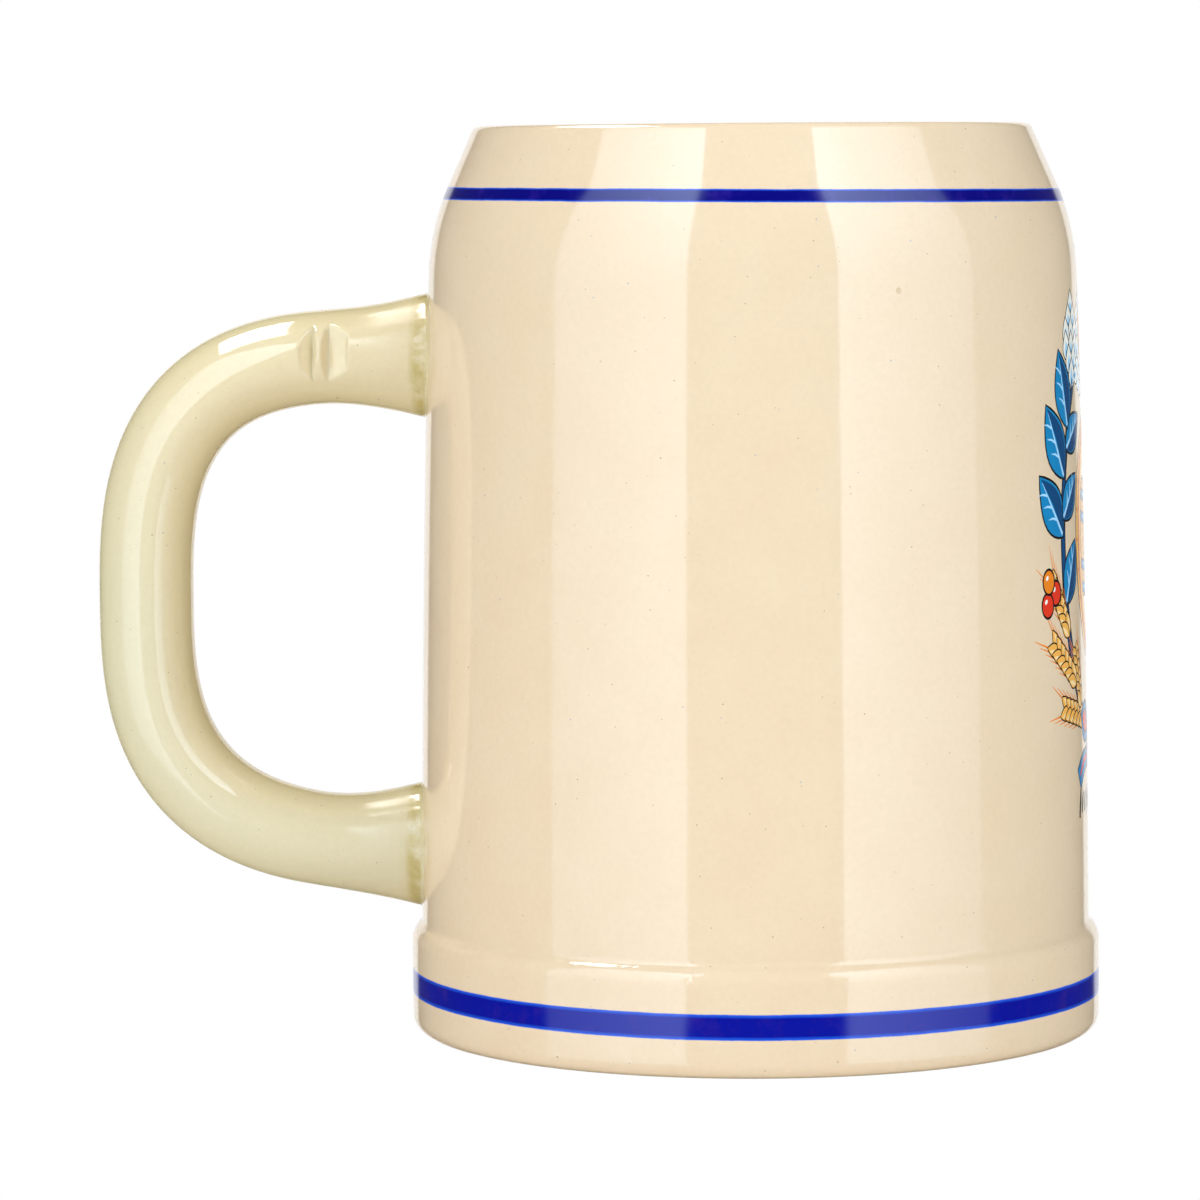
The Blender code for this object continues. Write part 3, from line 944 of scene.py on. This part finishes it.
STROKES = 13
STROKE_STEP = 1.7
for i in range(STROKES):
    middle = (i - (STROKES - 1) / 2) * STROKE_STEP
    tall = 2.9 if i % 3 else 4.1
    stroke = band([(-0.45, -tall / 2), (0, 0), (0.45, tall / 2)], [0.75, 1.0, 0.6])
    ink(set_at(stroke, (middle, 33.5)), "black")
print(f"print: {len(drawing)} areas of ink")

# %% [markdown]
# Now the places are filled. Round each root a few loops of extra points let the pooled glaze
# fade out smoothly. The pit is a bubble that burst in the kiln, under a millimetre across, with a
# low raised lip.

# %% Fill the three kinds of place
PRINT_HALF_WIDTH = 28.2
ROOT_HALF_WIDTH = 14.5
PIT_TURN = math.radians(-61.4)
PIT_HEIGHT = 107.1
PIT_RADIUS = 0.42
PIT_DEPTH = 0.2
PIT_LIP_RADIUS = 0.5
PIT_LIP_HEIGHT = 0.05
PIT_LOOPS = (0.08, 0.16, 0.24, 0.32, 0.4, 0.5, 0.65, 0.9)
ROOT_LOOPS = (0.4, 0.9, 1.6, 2.6)


def wall_row(height):
    """The wall's row of points nearest to a height."""
    return min(WALL_HEIGHTS, key=lambda row: abs(row - height))


PLACES = {
    "print": (0.0, PRINT_HALF_WIDTH, 21 * MM, SHOULDER_START),
    "top root": (HANDLE_TURN, ROOT_HALF_WIDTH, 84 * MM, SHOULDER_START),
    "bottom root": (HANDLE_TURN, ROOT_HALF_WIDTH, WALL_START, 40 * MM),
    "pit": (PIT_TURN, 3.2, 102 * MM, SHOULDER_START),
}
body_points = np.empty(len(body_mesh.vertices) * 3)
body_mesh.vertices.foreach_get("co", body_points)
body_points = body_points.reshape(-1, 3)
body_faces = [list(face.vertices) for face in body_mesh.polygons]
taken_faces = set()


def fill_root(middle, outline, inner, loop):
    low, high = np.min(outline, axis=0) + 0.15, np.max(outline, axis=0) - 0.15
    for reach in ROOT_LOOPS:
        wider = loop + outward(loop) * reach
        inner += [place for place in wider if np.all(place > low) and np.all(place < high)]
    flat, faces, _ = fill_place(outline, inner, holes=[loop])
    gaps = np.array([np.min(np.linalg.norm(loop - place, axis=1)) for place in flat])
    add_clay(on_wall(flat, middle), faces, pooling=0.1 * closeness(gaps, 0.9))


def fill_pit(middle, outline, inner):
    centre = np.array((0, PIT_HEIGHT))
    inner = [place for place in inner if np.linalg.norm(place - centre) > 1.3]
    for reach in PIT_LOOPS:
        inner += list(oval(reach, reach, 20) + centre)
    flat, faces, _ = fill_place(outline, inner + [centre])
    away = np.linalg.norm(flat - centre, axis=1)
    lip = PIT_LIP_HEIGHT * closeness(np.abs(away - PIT_LIP_RADIUS), 0.2)
    sunk = PIT_DEPTH * closeness(away, PIT_RADIUS) ** 0.6 - lip
    points = on_wall(flat, middle)
    ways = np.array([wall_normal(middle + u * MM / BODY_RADIUS, z * MM) for u, z in flat])
    add_clay(points - ways * (sunk * MM)[:, None], faces, groove=0.4 * closeness(away, PIT_RADIUS))


for name, (middle, half_width, low, high) in PLACES.items():
    taken, outline, inner = place_in_wall(
        body_points, body_faces, middle, half_width, wall_row(low), wall_row(high)
    )
    taken_faces |= taken
    if name == "print":
        flat, faces, inks = fill_place(outline, inner, areas=drawing)
        add_clay(on_wall(flat, middle), faces, inks=inks)
    elif name == "pit":
        fill_pit(middle, outline, inner)
    else:
        fill_root(middle, outline, inner, top_loop if name == "top root" else bottom_loop)
    print(f"{name}: {len(taken)} faces out, {len(clay['faces'])} faces in the mug so far")

left = [face for i, face in enumerate(body_faces) if i not in taken_faces]
add_clay(body_points, left)

# %% [markdown]
# All pieces of skin share their edge points, so merging points that coincide closes the mug. A
# closed skin has no edge with only one face, and that is worth printing. On the wall the true
# normals are known from the profile, and giving them to the mesh keeps the reflections smooth
# across the triangles of the print, whatever their shape.

# %% Close the skin
INKS = {
    "black": "#1A1411",
    "gold": "#F3AE4E",
    "orange": "#E97F1C",
    "straw": "#FBD798",
    "sky blue": "#127FAE",
    "deep blue": "#0A4570",
    "pale blue": "#A6D2E8",
    "cream": "#F7EFDC",
    "red": "#E0351B",
}
SLOTS = ["glaze", "bare foot"] + list(INKS)
SAME_PLACE = 0.002 * MM
BARE_BELOW = 0.6 * MM
BARE_WIDTH = 10 * MM


def bare_foot(points):
    """Whether a face lies on the foot ring, which is wiped free of glaze."""
    low = max(z for x, y, z in points) < BARE_BELOW
    return low and min(math.hypot(x, y) for x, y, z in points) > FOOT_RADIUS - BARE_WIDTH


def closed_skin():
    points = np.concatenate(clay["points"])
    mesh = bpy.data.meshes.new("stoneware_mug")
    mesh.from_pydata(points.tolist(), [], clay["faces"])
    for name in MARKS:
        mark = mesh.attributes.new(name, "FLOAT", "POINT")
        mark.data.foreach_set("value", np.concatenate(clay[name]).astype(np.float32))
    slots = []
    for face, colour in zip(clay["faces"], clay["inks"]):
        bare = not colour and bare_foot([points[v] for v in face])
        slots.append(SLOTS.index(colour or ("bare foot" if bare else "glaze")))
    mesh.polygons.foreach_set("material_index", slots)
    work = bmesh.new()
    work.from_mesh(mesh)
    bmesh.ops.remove_doubles(work, verts=work.verts, dist=SAME_PLACE)
    loose = [vert for vert in work.verts if not vert.link_faces]
    bmesh.ops.delete(work, geom=loose, context="VERTS")
    bmesh.ops.recalc_face_normals(work, faces=work.faces)
    if work.calc_volume(signed=True) < 0:
        bmesh.ops.reverse_faces(work, faces=work.faces)
    open_edges = sum(len(edge.link_faces) != 2 for edge in work.edges)
    corners = sum(len(face.verts) - 2 for face in work.faces)
    volume = work.calc_volume(signed=True)
    work.to_mesh(mesh)
    work.free()
    print(f"skin: {corners} triangles, {open_edges} open edges, {volume * 1e6:.0f} cm3 of clay")
    return mesh


def give_true_normals(mesh):
    mesh.shade_smooth()
    normals = []
    for vert in mesh.vertices:
        x, y, z = vert.co
        off_wall = abs(math.hypot(x, y) - wall_radius(z))
        lies_on_wall = WALL_START <= z <= LIP_START and off_wall < SAME_PLACE
        normals.append(wall_normal(math.atan2(y, x), z) if lies_on_wall else (0, 0, 0))
    mesh.normals_split_custom_set_from_vertices(normals)


skin = closed_skin()
give_true_normals(skin)
mug = bpy.data.objects.new("stoneware_mug", skin)
bpy.context.scene.collection.objects.link(mug)

# %% [markdown]
# Colours are written as a painter would pick them from a screen, in sRGB hex. Shaders count in
# linear light, so one function turns a hex value to linear. The studio is lit with white light
# that is a little over one, so the glaze's own colour is a touch darker than it looks.

# %% Colours


def linear(hex_colour):
    """Linear RGBA from an sRGB hex colour."""
    parts = [int(hex_colour[i : i + 2], 16) / 255 for i in (1, 3, 5)]
    return (*(p / 12.92 if p <= 0.04045 else ((p + 0.055) / 1.055) ** 2.4 for p in parts), 1.0)


def per_mm(size):
    """The scale of a pattern on coordinates in metres whose features are so many mm apart."""
    return 1 / (size * MM)


def new_material(name):
    material = bpy.data.materials.new(name)
    material.use_nodes = True
    tree = material.node_tree
    tree.nodes.clear()
    shader = add_node(tree, "ShaderNodeBsdfPrincipled", {"IOR": 1.5, "Roughness": 0.1})
    add_node(tree, "ShaderNodeOutputMaterial", {"Surface": shader})
    return material, tree, shader


# %% [markdown]
# The glaze is a clear feldspar glaze over a cream body, sprayed on and fired once. The eye sees
# a wet-looking gloss with a faint orange peel, a body colour that wanders a little over a few
# millimetres, iron specks as fine as pepper, and thick glaze that pools olive in the corners.
# Each kind of speck has its colour, its spacing and its radius in millimetres, the share of places
# that carry one, and a shift that keeps the kinds apart.

# %% Patterns in the glaze
CREAM = "#E4C8A4"
WARM_CREAM = "#E0C099"
HANDLE_CREAM = "#E1CBA0"
HANDLE_GREY = "#DACAA4"
HANDLE_OLIVE = "#DCC892"
POOLED = "#BBA35A"
IN_THE_CUTS = "#C2AE7C"
GRAIN = "#BCA27C"
IRON_SPECK = "#6E5A44"
COBALT_SPECK = "#6C7FA0"
SPECKS = (
    (IRON_SPECK, 1.7, 0.15, 0.5, 0.0),
    (IRON_SPECK, 7.0, 0.26, 0.4, 0.2),
    (COBALT_SPECK, 2.6, 0.17, 0.5, 0.4),
)


def speckled(tree, place, ground, colour, spacing, radius, share, shift):
    """Lay round specks over a ground: one to a cell, in only a share of the cells."""
    moved = add_node(tree, "ShaderNodeVectorMath", {0: place, 1: (shift, shift, 0)}, operation="ADD")
    cells = add_node(
        tree, "ShaderNodeTexVoronoi", {"Vector": moved, "Scale": per_mm(spacing)}, feature="F1"
    )
    chance = add_node(tree, "ShaderNodeSeparateColor", {"Color": cells.outputs["Color"]})
    chosen = add_node(
        tree, "ShaderNodeMath", {0: chance.outputs["Red"], 1: share}, operation="LESS_THAN"
    )
    size = add_node(
        tree, "ShaderNodeMapRange",
        {"Value": chance.outputs["Green"], "To Min": 0.5 * radius / spacing, "To Max": radius / spacing},
    )
    inner = add_node(tree, "ShaderNodeMath", {0: size, 1: 0.5}, operation="MULTIPLY")
    spot = add_node(
        tree, "ShaderNodeMapRange",
        {"Value": cells.outputs["Distance"], "From Min": size, "From Max": inner, "To Max": 0.6},
    )
    amount = add_node(tree, "ShaderNodeMath", {0: spot, 1: chosen}, operation="MULTIPLY")
    return laid_over(tree, ground, linear(colour), amount)


def laid_over(tree, ground, colour, amount):
    """A colour mixed over a ground by an amount."""
    mix = add_node(tree, "ShaderNodeMix", {0: amount, 6: ground, 7: colour}, data_type="RGBA")
    return mix.outputs[2]


def marked(tree, ground, mark, colour, most):
    """A colour laid over a ground where the mesh carries a mark."""
    found = add_node(tree, "ShaderNodeAttribute", attribute_name=mark)
    amount = add_node(tree, "ShaderNodeMath", {0: found.outputs["Fac"], 1: most}, operation="MULTIPLY")
    return laid_over(tree, ground, colour, amount)


def raised(tree, height, distance, normal=None):
    """A bump whose full height is a real distance."""
    inputs = {"Height": height, "Distance": distance, "Strength": 1.0}
    if normal:
        inputs["Normal"] = normal
    return add_node(tree, "ShaderNodeBump", inputs)


def glaze_ground(tree, place):
    """The glaze's colour, before anything is painted on it, greyer towards the bottom of the handle."""
    wander = add_node(tree, "ShaderNodeTexNoise", {"Vector": place, "Scale": per_mm(9), "Detail": 3.0})
    mottle = add_node(
        tree, "ShaderNodeTexNoise",
        {"Vector": place, "Scale": per_mm(0.9), "Detail": 4.0, "Roughness": 0.7},
    )
    amount = add_node(
        tree, "ShaderNodeMath", {0: wander, 1: 0.9, 2: -0.25}, operation="MULTIPLY_ADD", use_clamp=True
    )
    grain = add_node(
        tree, "ShaderNodeMath", {0: mottle, 1: 1.6, 2: -0.55}, operation="MULTIPLY_ADD", use_clamp=True
    )
    body = laid_over(tree, linear(CREAM), linear(WARM_CREAM), amount)
    body = marked(tree, body, "handle", linear(HANDLE_CREAM), 1.0)
    # On the handle the colour turns greyer from 96 mm down to 60 mm.
    height = add_node(tree, "ShaderNodeSeparateXYZ", {0: place})
    low = add_node(
        tree, "ShaderNodeMapRange",
        {"Value": height.outputs["Z"], "From Min": 96 * MM, "From Max": 60 * MM},
    )
    grey = laid_over(tree, body, linear(HANDLE_GREY), low)
    body = marked(tree, body, "handle", grey, 1.0)
    body = marked(tree, body, "backs", linear(HANDLE_OLIVE), 0.7)
    faint = add_node(tree, "ShaderNodeMath", {0: grain, 1: 0.2}, operation="MULTIPLY")
    return laid_over(tree, body, linear(GRAIN), faint)


# %% [markdown]
# Cobalt was banded on with a brush while the mug turned on a wheel. The blue bites into the
# glaze: it is almost black where it lies thick, violet in patches, and a lighter blue along both
# edges, where it thinned out. Height says where a band is, with a little wobble. Neither band is
# quite level: each sinks towards the front, by its tilt times the distance along X. Both are only
# on the outside, past a radius between the wall's two faces. A row gives a band's lower and upper
# edge, its tilt, how far its edges are thin, and its colour.

# %% Two bands of cobalt
BANDS = (
    (119.26 * MM, 121.06 * MM, 0.0087, 0.28 * MM, "#040368"),
    (5.55 * MM, 9.1 * MM, 0.0022, 0.55 * MM, "#000C88"),
)
COBALT_EDGE = "#1A50C6"
COBALT_VIOLET = "#2E1A80"
BAND_WOBBLE = 0.15 * MM
BAND_SOFTNESS = 0.06 * MM
PAINTED_PAST = 41.5 * MM


def banded(tree, place, ground):
    """Paint the bands over a ground, and give back how much blue lies at each place."""
    height = add_node(tree, "ShaderNodeSeparateXYZ", {0: place})
    ripple = add_node(
        tree, "ShaderNodeTexNoise",
        {"Vector": place, "Scale": per_mm(11), "Detail": 6.0, "Roughness": 0.75},
    )
    wobble = add_node(
        tree, "ShaderNodeMath", {0: ripple, 1: 2 * BAND_WOBBLE, 2: -BAND_WOBBLE}, operation="MULTIPLY_ADD"
    )
    level = add_node(tree, "ShaderNodeMath", {0: height.outputs["Z"], 1: wobble}, operation="ADD")
    patches = add_node(
        tree, "ShaderNodeTexNoise",
        {"Vector": place, "Scale": per_mm(5), "Detail": 5.0, "Roughness": 0.7},
    )
    violet = add_node(
        tree, "ShaderNodeMapRange", {"Value": patches, "From Min": 0.52, "From Max": 0.7, "To Max": 0.6}
    )
    across = add_node(tree, "ShaderNodeVectorMath", {0: place, 1: (1, 1, 0)}, operation="MULTIPLY")
    radius = add_node(tree, "ShaderNodeVectorMath", {0: across}, operation="LENGTH")
    outside = add_node(
        tree, "ShaderNodeMath", {0: radius.outputs["Value"], 1: PAINTED_PAST}, operation="GREATER_THAN"
    )
    total = 0.0
    for low, high, tilt, thin, cobalt in BANDS:
        blue = laid_over(tree, linear(cobalt), linear(COBALT_VIOLET), violet)
        middle, half = (low + high) / 2, (high - low) / 2
        tilted = add_node(
            tree, "ShaderNodeMath",
            {0: height.outputs["X"], 1: tilt, 2: -middle},
            operation="MULTIPLY_ADD",
        )
        away = add_node(tree, "ShaderNodeMath", {0: level, 1: tilted}, operation="ADD")
        away = add_node(tree, "ShaderNodeMath", {0: away}, operation="ABSOLUTE")
        edge = add_node(
            tree, "ShaderNodeMapRange",
            {"Value": away, "From Min": half - thin, "From Max": half - 0.25 * thin},
        )
        amount = add_node(
            tree, "ShaderNodeMapRange",
            {"Value": away, "From Min": half + BAND_SOFTNESS, "From Max": half - BAND_SOFTNESS},
        )
        amount = add_node(tree, "ShaderNodeMath", {0: amount, 1: outside}, operation="MULTIPLY")
        painted = laid_over(tree, blue, linear(COBALT_EDGE), edge)
        ground = laid_over(tree, ground, painted, amount)
        total = add_node(tree, "ShaderNodeMath", {0: total, 1: amount}, operation="ADD")
    return ground, total


# %% [markdown]
# The finish comes together in one material. Its roughness starts at that of a fired gloss glaze,
# 0.06, and rises a little where the cobalt lies. Near a root that was wiped with the sponge the
# glaze is thin, so it is duller there. Three fine reliefs stir the reflections: orange peel, the
# rings that the turning tool left, and drops along the edge of the foot band.

# %% The glazed stoneware
ORANGE_PEEL = 0.006 * MM
TURNING_LINES = 0.004 * MM
EDGE_DROPS = 0.05 * MM
DROPS_HEIGHT = FOOT_BAND_HEIGHT + 1.6 * MM


def glazed_stoneware():
    material, tree, shader = new_material("glazed_stoneware_over_cobalt")
    place = add_node(tree, "ShaderNodeTexCoord").outputs["Object"]
    colour = glaze_ground(tree, place)
    for speck in SPECKS:
        colour = speckled(tree, place, colour, *speck)
    runs = add_node(
        tree, "ShaderNodeTexNoise",
        {"Vector": place, "Scale": per_mm(3.4), "Detail": 4.0, "Roughness": 0.7},
    )
    thick = add_node(
        tree, "ShaderNodeMapRange",
        {"Value": runs, "From Min": 0.36, "From Max": 0.6, "To Min": 0.2, "To Max": 0.9},
    )
    colour = marked(tree, colour, "pooling", linear(POOLED), thick)
    colour = marked(tree, colour, "groove", linear(IN_THE_CUTS), 0.7)
    colour, cobalt = banded(tree, place, colour)

    rough = add_node(tree, "ShaderNodeMapRange", {"Value": cobalt, "To Min": 0.06, "To Max": 0.12})
    wiped = add_node(tree, "ShaderNodeAttribute", attribute_name="wiped")
    rough = add_node(
        tree, "ShaderNodeMath", {0: wiped.outputs["Fac"], 1: 0.2, 2: rough}, operation="MULTIPLY_ADD"
    )
    shine = add_node(
        tree, "ShaderNodeMapRange", {"Value": wiped.outputs["Fac"], "To Min": 0.5, "To Max": 0.12}
    )
    feed(tree, shader, {"Base Color": colour, "Roughness": rough, "Specular IOR Level": shine})

    peel = add_node(tree, "ShaderNodeTexNoise", {"Vector": place, "Scale": per_mm(2.6), "Detail": 1.0})
    normal = raised(tree, peel, ORANGE_PEEL)
    stretched = add_node(
        tree, "ShaderNodeVectorMath", {0: place, 1: (0.02, 0.02, 1.0)}, operation="MULTIPLY"
    )
    rings = add_node(
        tree, "ShaderNodeTexNoise", {"Vector": stretched, "Scale": per_mm(3), "Detail": 2.0}
    )
    normal = raised(tree, rings, TURNING_LINES, normal)
    height = add_node(tree, "ShaderNodeSeparateXYZ", {0: place})
    away = add_node(
        tree, "ShaderNodeMath", {0: height.outputs["Z"], 1: DROPS_HEIGHT}, operation="SUBTRACT"
    )
    away = add_node(tree, "ShaderNodeMath", {0: away}, operation="ABSOLUTE")
    near = add_node(
        tree, "ShaderNodeMapRange", {"Value": away, "From Min": 2.4 * MM, "From Max": 0.8 * MM}
    )
    drops = add_node(tree, "ShaderNodeTexNoise", {"Vector": place, "Scale": per_mm(1.5), "Detail": 2.0})
    there = add_node(tree, "ShaderNodeMath", {0: drops, 1: near}, operation="MULTIPLY")
    normal = raised(tree, there, EDGE_DROPS, normal)
    feed(tree, shader, {"Normal": normal})
    return material


# %% [markdown]
# The foot ring is wiped before the firing, or the mug would stick to the shelf. Bare stoneware is
# matt and grainy. The inks of the print are fired under a thin flux, so they are glossy too, but
# softer than the glaze. An ink is one colour, so its colour goes straight on to the shader.

# %% Bare clay and inks
BARE_CLAY = "#DCC8A4"
BARE_SHADE = "#B79B74"
BARE_SPECK = "#6B5138"
BARE_GRAIN = 0.04 * MM
INK_GRAIN = 0.008 * MM


def bare_stoneware():
    material, tree, shader = new_material("bare_stoneware")
    place = add_node(tree, "ShaderNodeTexCoord").outputs["Object"]
    grain = add_node(tree, "ShaderNodeTexNoise", {"Vector": place, "Scale": per_mm(0.7), "Detail": 6.0})
    colour = laid_over(tree, linear(BARE_CLAY), linear(BARE_SHADE), grain)
    colour = speckled(tree, place, colour, BARE_SPECK, 2.4, 0.3, 0.5, 0.0)
    relief = raised(tree, grain, BARE_GRAIN)
    feed(tree, shader, {"Base Color": colour, "Roughness": 0.85, "Normal": relief})
    return material


def fired_ink(name, hex_colour):
    material, tree, shader = new_material("ink_" + name.replace(" ", "_"))
    place = add_node(tree, "ShaderNodeTexCoord").outputs["Object"]
    grain = add_node(tree, "ShaderNodeTexNoise", {"Vector": place, "Scale": per_mm(0.8), "Detail": 3.0})
    rough = add_node(tree, "ShaderNodeMapRange", {"Value": grain, "To Min": 0.1, "To Max": 0.26})
    relief = raised(tree, grain, INK_GRAIN)
    feed(tree, shader, {"Base Color": linear(hex_colour), "Roughness": rough, "Normal": relief})
    return material


skin.materials.append(glazed_stoneware())
skin.materials.append(bare_stoneware())
for name, hex_colour in INKS.items():
    skin.materials.append(fired_ink(name, hex_colour))
print([material.name for material in skin.materials])

# %% [markdown]
# The mug stands on a white table in front of white paper. Two tall soft boxes, left and right of
# the camera, draw the two upright bands of light on the glaze. Their inner edges are crisp and
# their outer edges fade, as a lamp behind cloth does, so their strength follows the panel's own
# coordinate. A flat box above gives the short bright strip on the handle's upper bend, and only
# reflections show it. A white ceiling does the opposite: it lights the mug softly and isn't
# reflected. The table is there for the light that it throws back. The camera doesn't see it, as
# the photograph's ground is pure white.

# %% The table and the light
CAMERA_TURN = math.radians(-86.56)
BOX_DISTANCE = 0.9
BOX_BOTTOM, BOX_TOP = -0.3, 1.2
BOX_STRENGTH = 3.0
BOX_SHARES = (0.6, 1.9)
BOX_TINT = (0.83, 1.0, 1.2)
ROOM_LIGHT = 0.06
TABLE_RADIUS = 0.7
TABLE_DROP = 0.2 * MM
TABLE_GLOW = 0.12


def white_table():
    mesh = bpy.data.meshes.new("white_table")
    work = bmesh.new()
    bmesh.ops.create_circle(work, cap_ends=True, segments=96, radius=TABLE_RADIUS)
    work.to_mesh(mesh)
    work.free()
    table = bpy.data.objects.new("white_table", mesh)
    table.location.z = -TABLE_DROP
    bpy.context.scene.collection.objects.link(table)
    material, tree, shader = new_material("white_paper")
    feed(tree, shader, {"Base Color": linear("#FAFAFA"), "Roughness": 0.9, "Specular IOR Level": 0.0})
    feed(tree, shader, {"Emission Color": (1, 1, 1, 1), "Emission Strength": TABLE_GLOW})
    mesh.materials.append(material)
    table.visible_glossy = False
    table.visible_camera = False


def light_panel(name, width, height, strength):
    """A flat lamp of a given size, whose face shows the strength as its brightness."""
    light = bpy.data.lights.new(name, "AREA")
    light.shape = "RECTANGLE"
    light.size, light.size_y = width, height
    light.energy = strength * width * height * math.pi
    lamp = bpy.data.objects.new(name, light)
    bpy.context.scene.collection.objects.link(lamp)
    return lamp


def soft_box(name, turn, width, sides):
    """A tall panel that faces the mug from a turn round the axis, with a share of its strength
    at its left and its right side as the camera sees them. It is brightest at the top."""
    lamp = light_panel(name, width, BOX_TOP - BOX_BOTTOM, BOX_STRENGTH)
    middle = (BOX_TOP + BOX_BOTTOM) / 2
    lamp.location = (BOX_DISTANCE * math.cos(turn), BOX_DISTANCE * math.sin(turn), middle)
    lamp.rotation_euler = (math.pi / 2, 0, turn + math.pi / 2)
    lamp.data.color = BOX_TINT
    lamp.data.use_nodes = True
    tree = lamp.data.node_tree
    panel = add_node(tree, "ShaderNodeNewGeometry")
    on_panel = add_node(tree, "ShaderNodeSeparateXYZ", {0: panel.outputs["Parametric"]})
    across = add_node(
        tree, "ShaderNodeMapRange",
        {"Value": on_panel.outputs["X"], "To Min": sides[0], "To Max": sides[1]},
    )
    up = add_node(
        tree, "ShaderNodeMapRange",
        {"Value": on_panel.outputs["Y"], "To Min": BOX_SHARES[0], "To Max": BOX_SHARES[1]},
    )
    power = add_node(tree, "ShaderNodeMath", {0: across, 1: up}, operation="MULTIPLY")
    emission = next(node for node in tree.nodes if node.bl_idname == "ShaderNodeEmission")
    feed(tree, emission, {"Strength": power})


def studio_air():
    """White paper behind the mug, a dim room elsewhere, and white wherever the camera looks."""
    world = bpy.data.worlds.new("studio_air")
    world.use_nodes = True
    tree = world.node_tree
    way = add_node(tree, "ShaderNodeTexCoord")
    behind = (-math.cos(CAMERA_TURN), -math.sin(CAMERA_TURN), 0)
    towards = add_node(
        tree, "ShaderNodeVectorMath", {0: way.outputs["Generated"], 1: behind}, operation="DOT_PRODUCT"
    )
    edge = {"From Min": 0.9, "From Max": 0.92, "To Min": ROOM_LIGHT}
    room = add_node(tree, "ShaderNodeMapRange", {"Value": towards.outputs["Value"], **edge})
    path = add_node(tree, "ShaderNodeLightPath")
    seen = add_node(
        tree, "ShaderNodeMath", {0: room, 1: path.outputs["Is Camera Ray"]}, operation="MAXIMUM"
    )
    feed(tree, tree.nodes["Background"], {"Strength": seen, "Color": (1, 1, 1, 1)})
    bpy.context.scene.world = world


white_table()
soft_box("left_box", CAMERA_TURN - math.radians(46.9), 0.824, (0.45, 1.0))
soft_box("right_box", CAMERA_TURN + math.radians(55.3), 0.88, (1.0, 0.35))
overhead = light_panel("overhead_panel", 0.42, 0.795, 14.0)
overhead.location = (-0.57, 0.24, 1.1)
overhead.visible_diffuse = False
ceiling = light_panel("white_ceiling", 1.8, 1.8, 1.45)
ceiling.location = (-0.2, -0.05, 1.3)
ceiling.visible_glossy = False
studio_air()
bpy.context.scene.view_settings.view_transform = "Standard"

# %% [markdown]
# The photograph was taken from a little above the rim with a long lens. The camera's place and
# lens were worked out from the ovals of the rim and the foot, and from the mug's known height.

# %% The camera
CAMERA_PLACE = Vector((0.0447, -0.7715, 0.1249))
LENS = 161.1
LOOK_TURN = math.radians(4.96)
LOOK_DOWN = math.radians(4.67)
ROLL = math.radians(0.4)


def photo_camera():
    data = bpy.data.cameras.new("photo_camera")
    data.lens = LENS
    data.sensor_width = 36
    data.clip_start = 0.05
    camera = bpy.data.objects.new("photo_camera", data)
    right = Vector((math.cos(LOOK_TURN), math.sin(LOOK_TURN), 0))
    level = Vector((-math.sin(LOOK_TURN), math.cos(LOOK_TURN), 0))
    up = level * math.sin(LOOK_DOWN) + Vector((0, 0, math.cos(LOOK_DOWN)))
    rolled_right = right * math.cos(ROLL) - up * math.sin(ROLL)
    rolled_up = right * math.sin(ROLL) + up * math.cos(ROLL)
    turn = Matrix((rolled_right, rolled_up, rolled_right.cross(rolled_up))).transposed()
    camera.matrix_world = Matrix.Translation(CAMERA_PLACE) @ turn.to_4x4()
    bpy.context.scene.collection.objects.link(camera)
    bpy.context.scene.camera = camera


photo_camera()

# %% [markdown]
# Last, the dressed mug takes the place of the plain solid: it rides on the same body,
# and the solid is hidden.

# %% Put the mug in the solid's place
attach(mug, "root")
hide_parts(NODE)
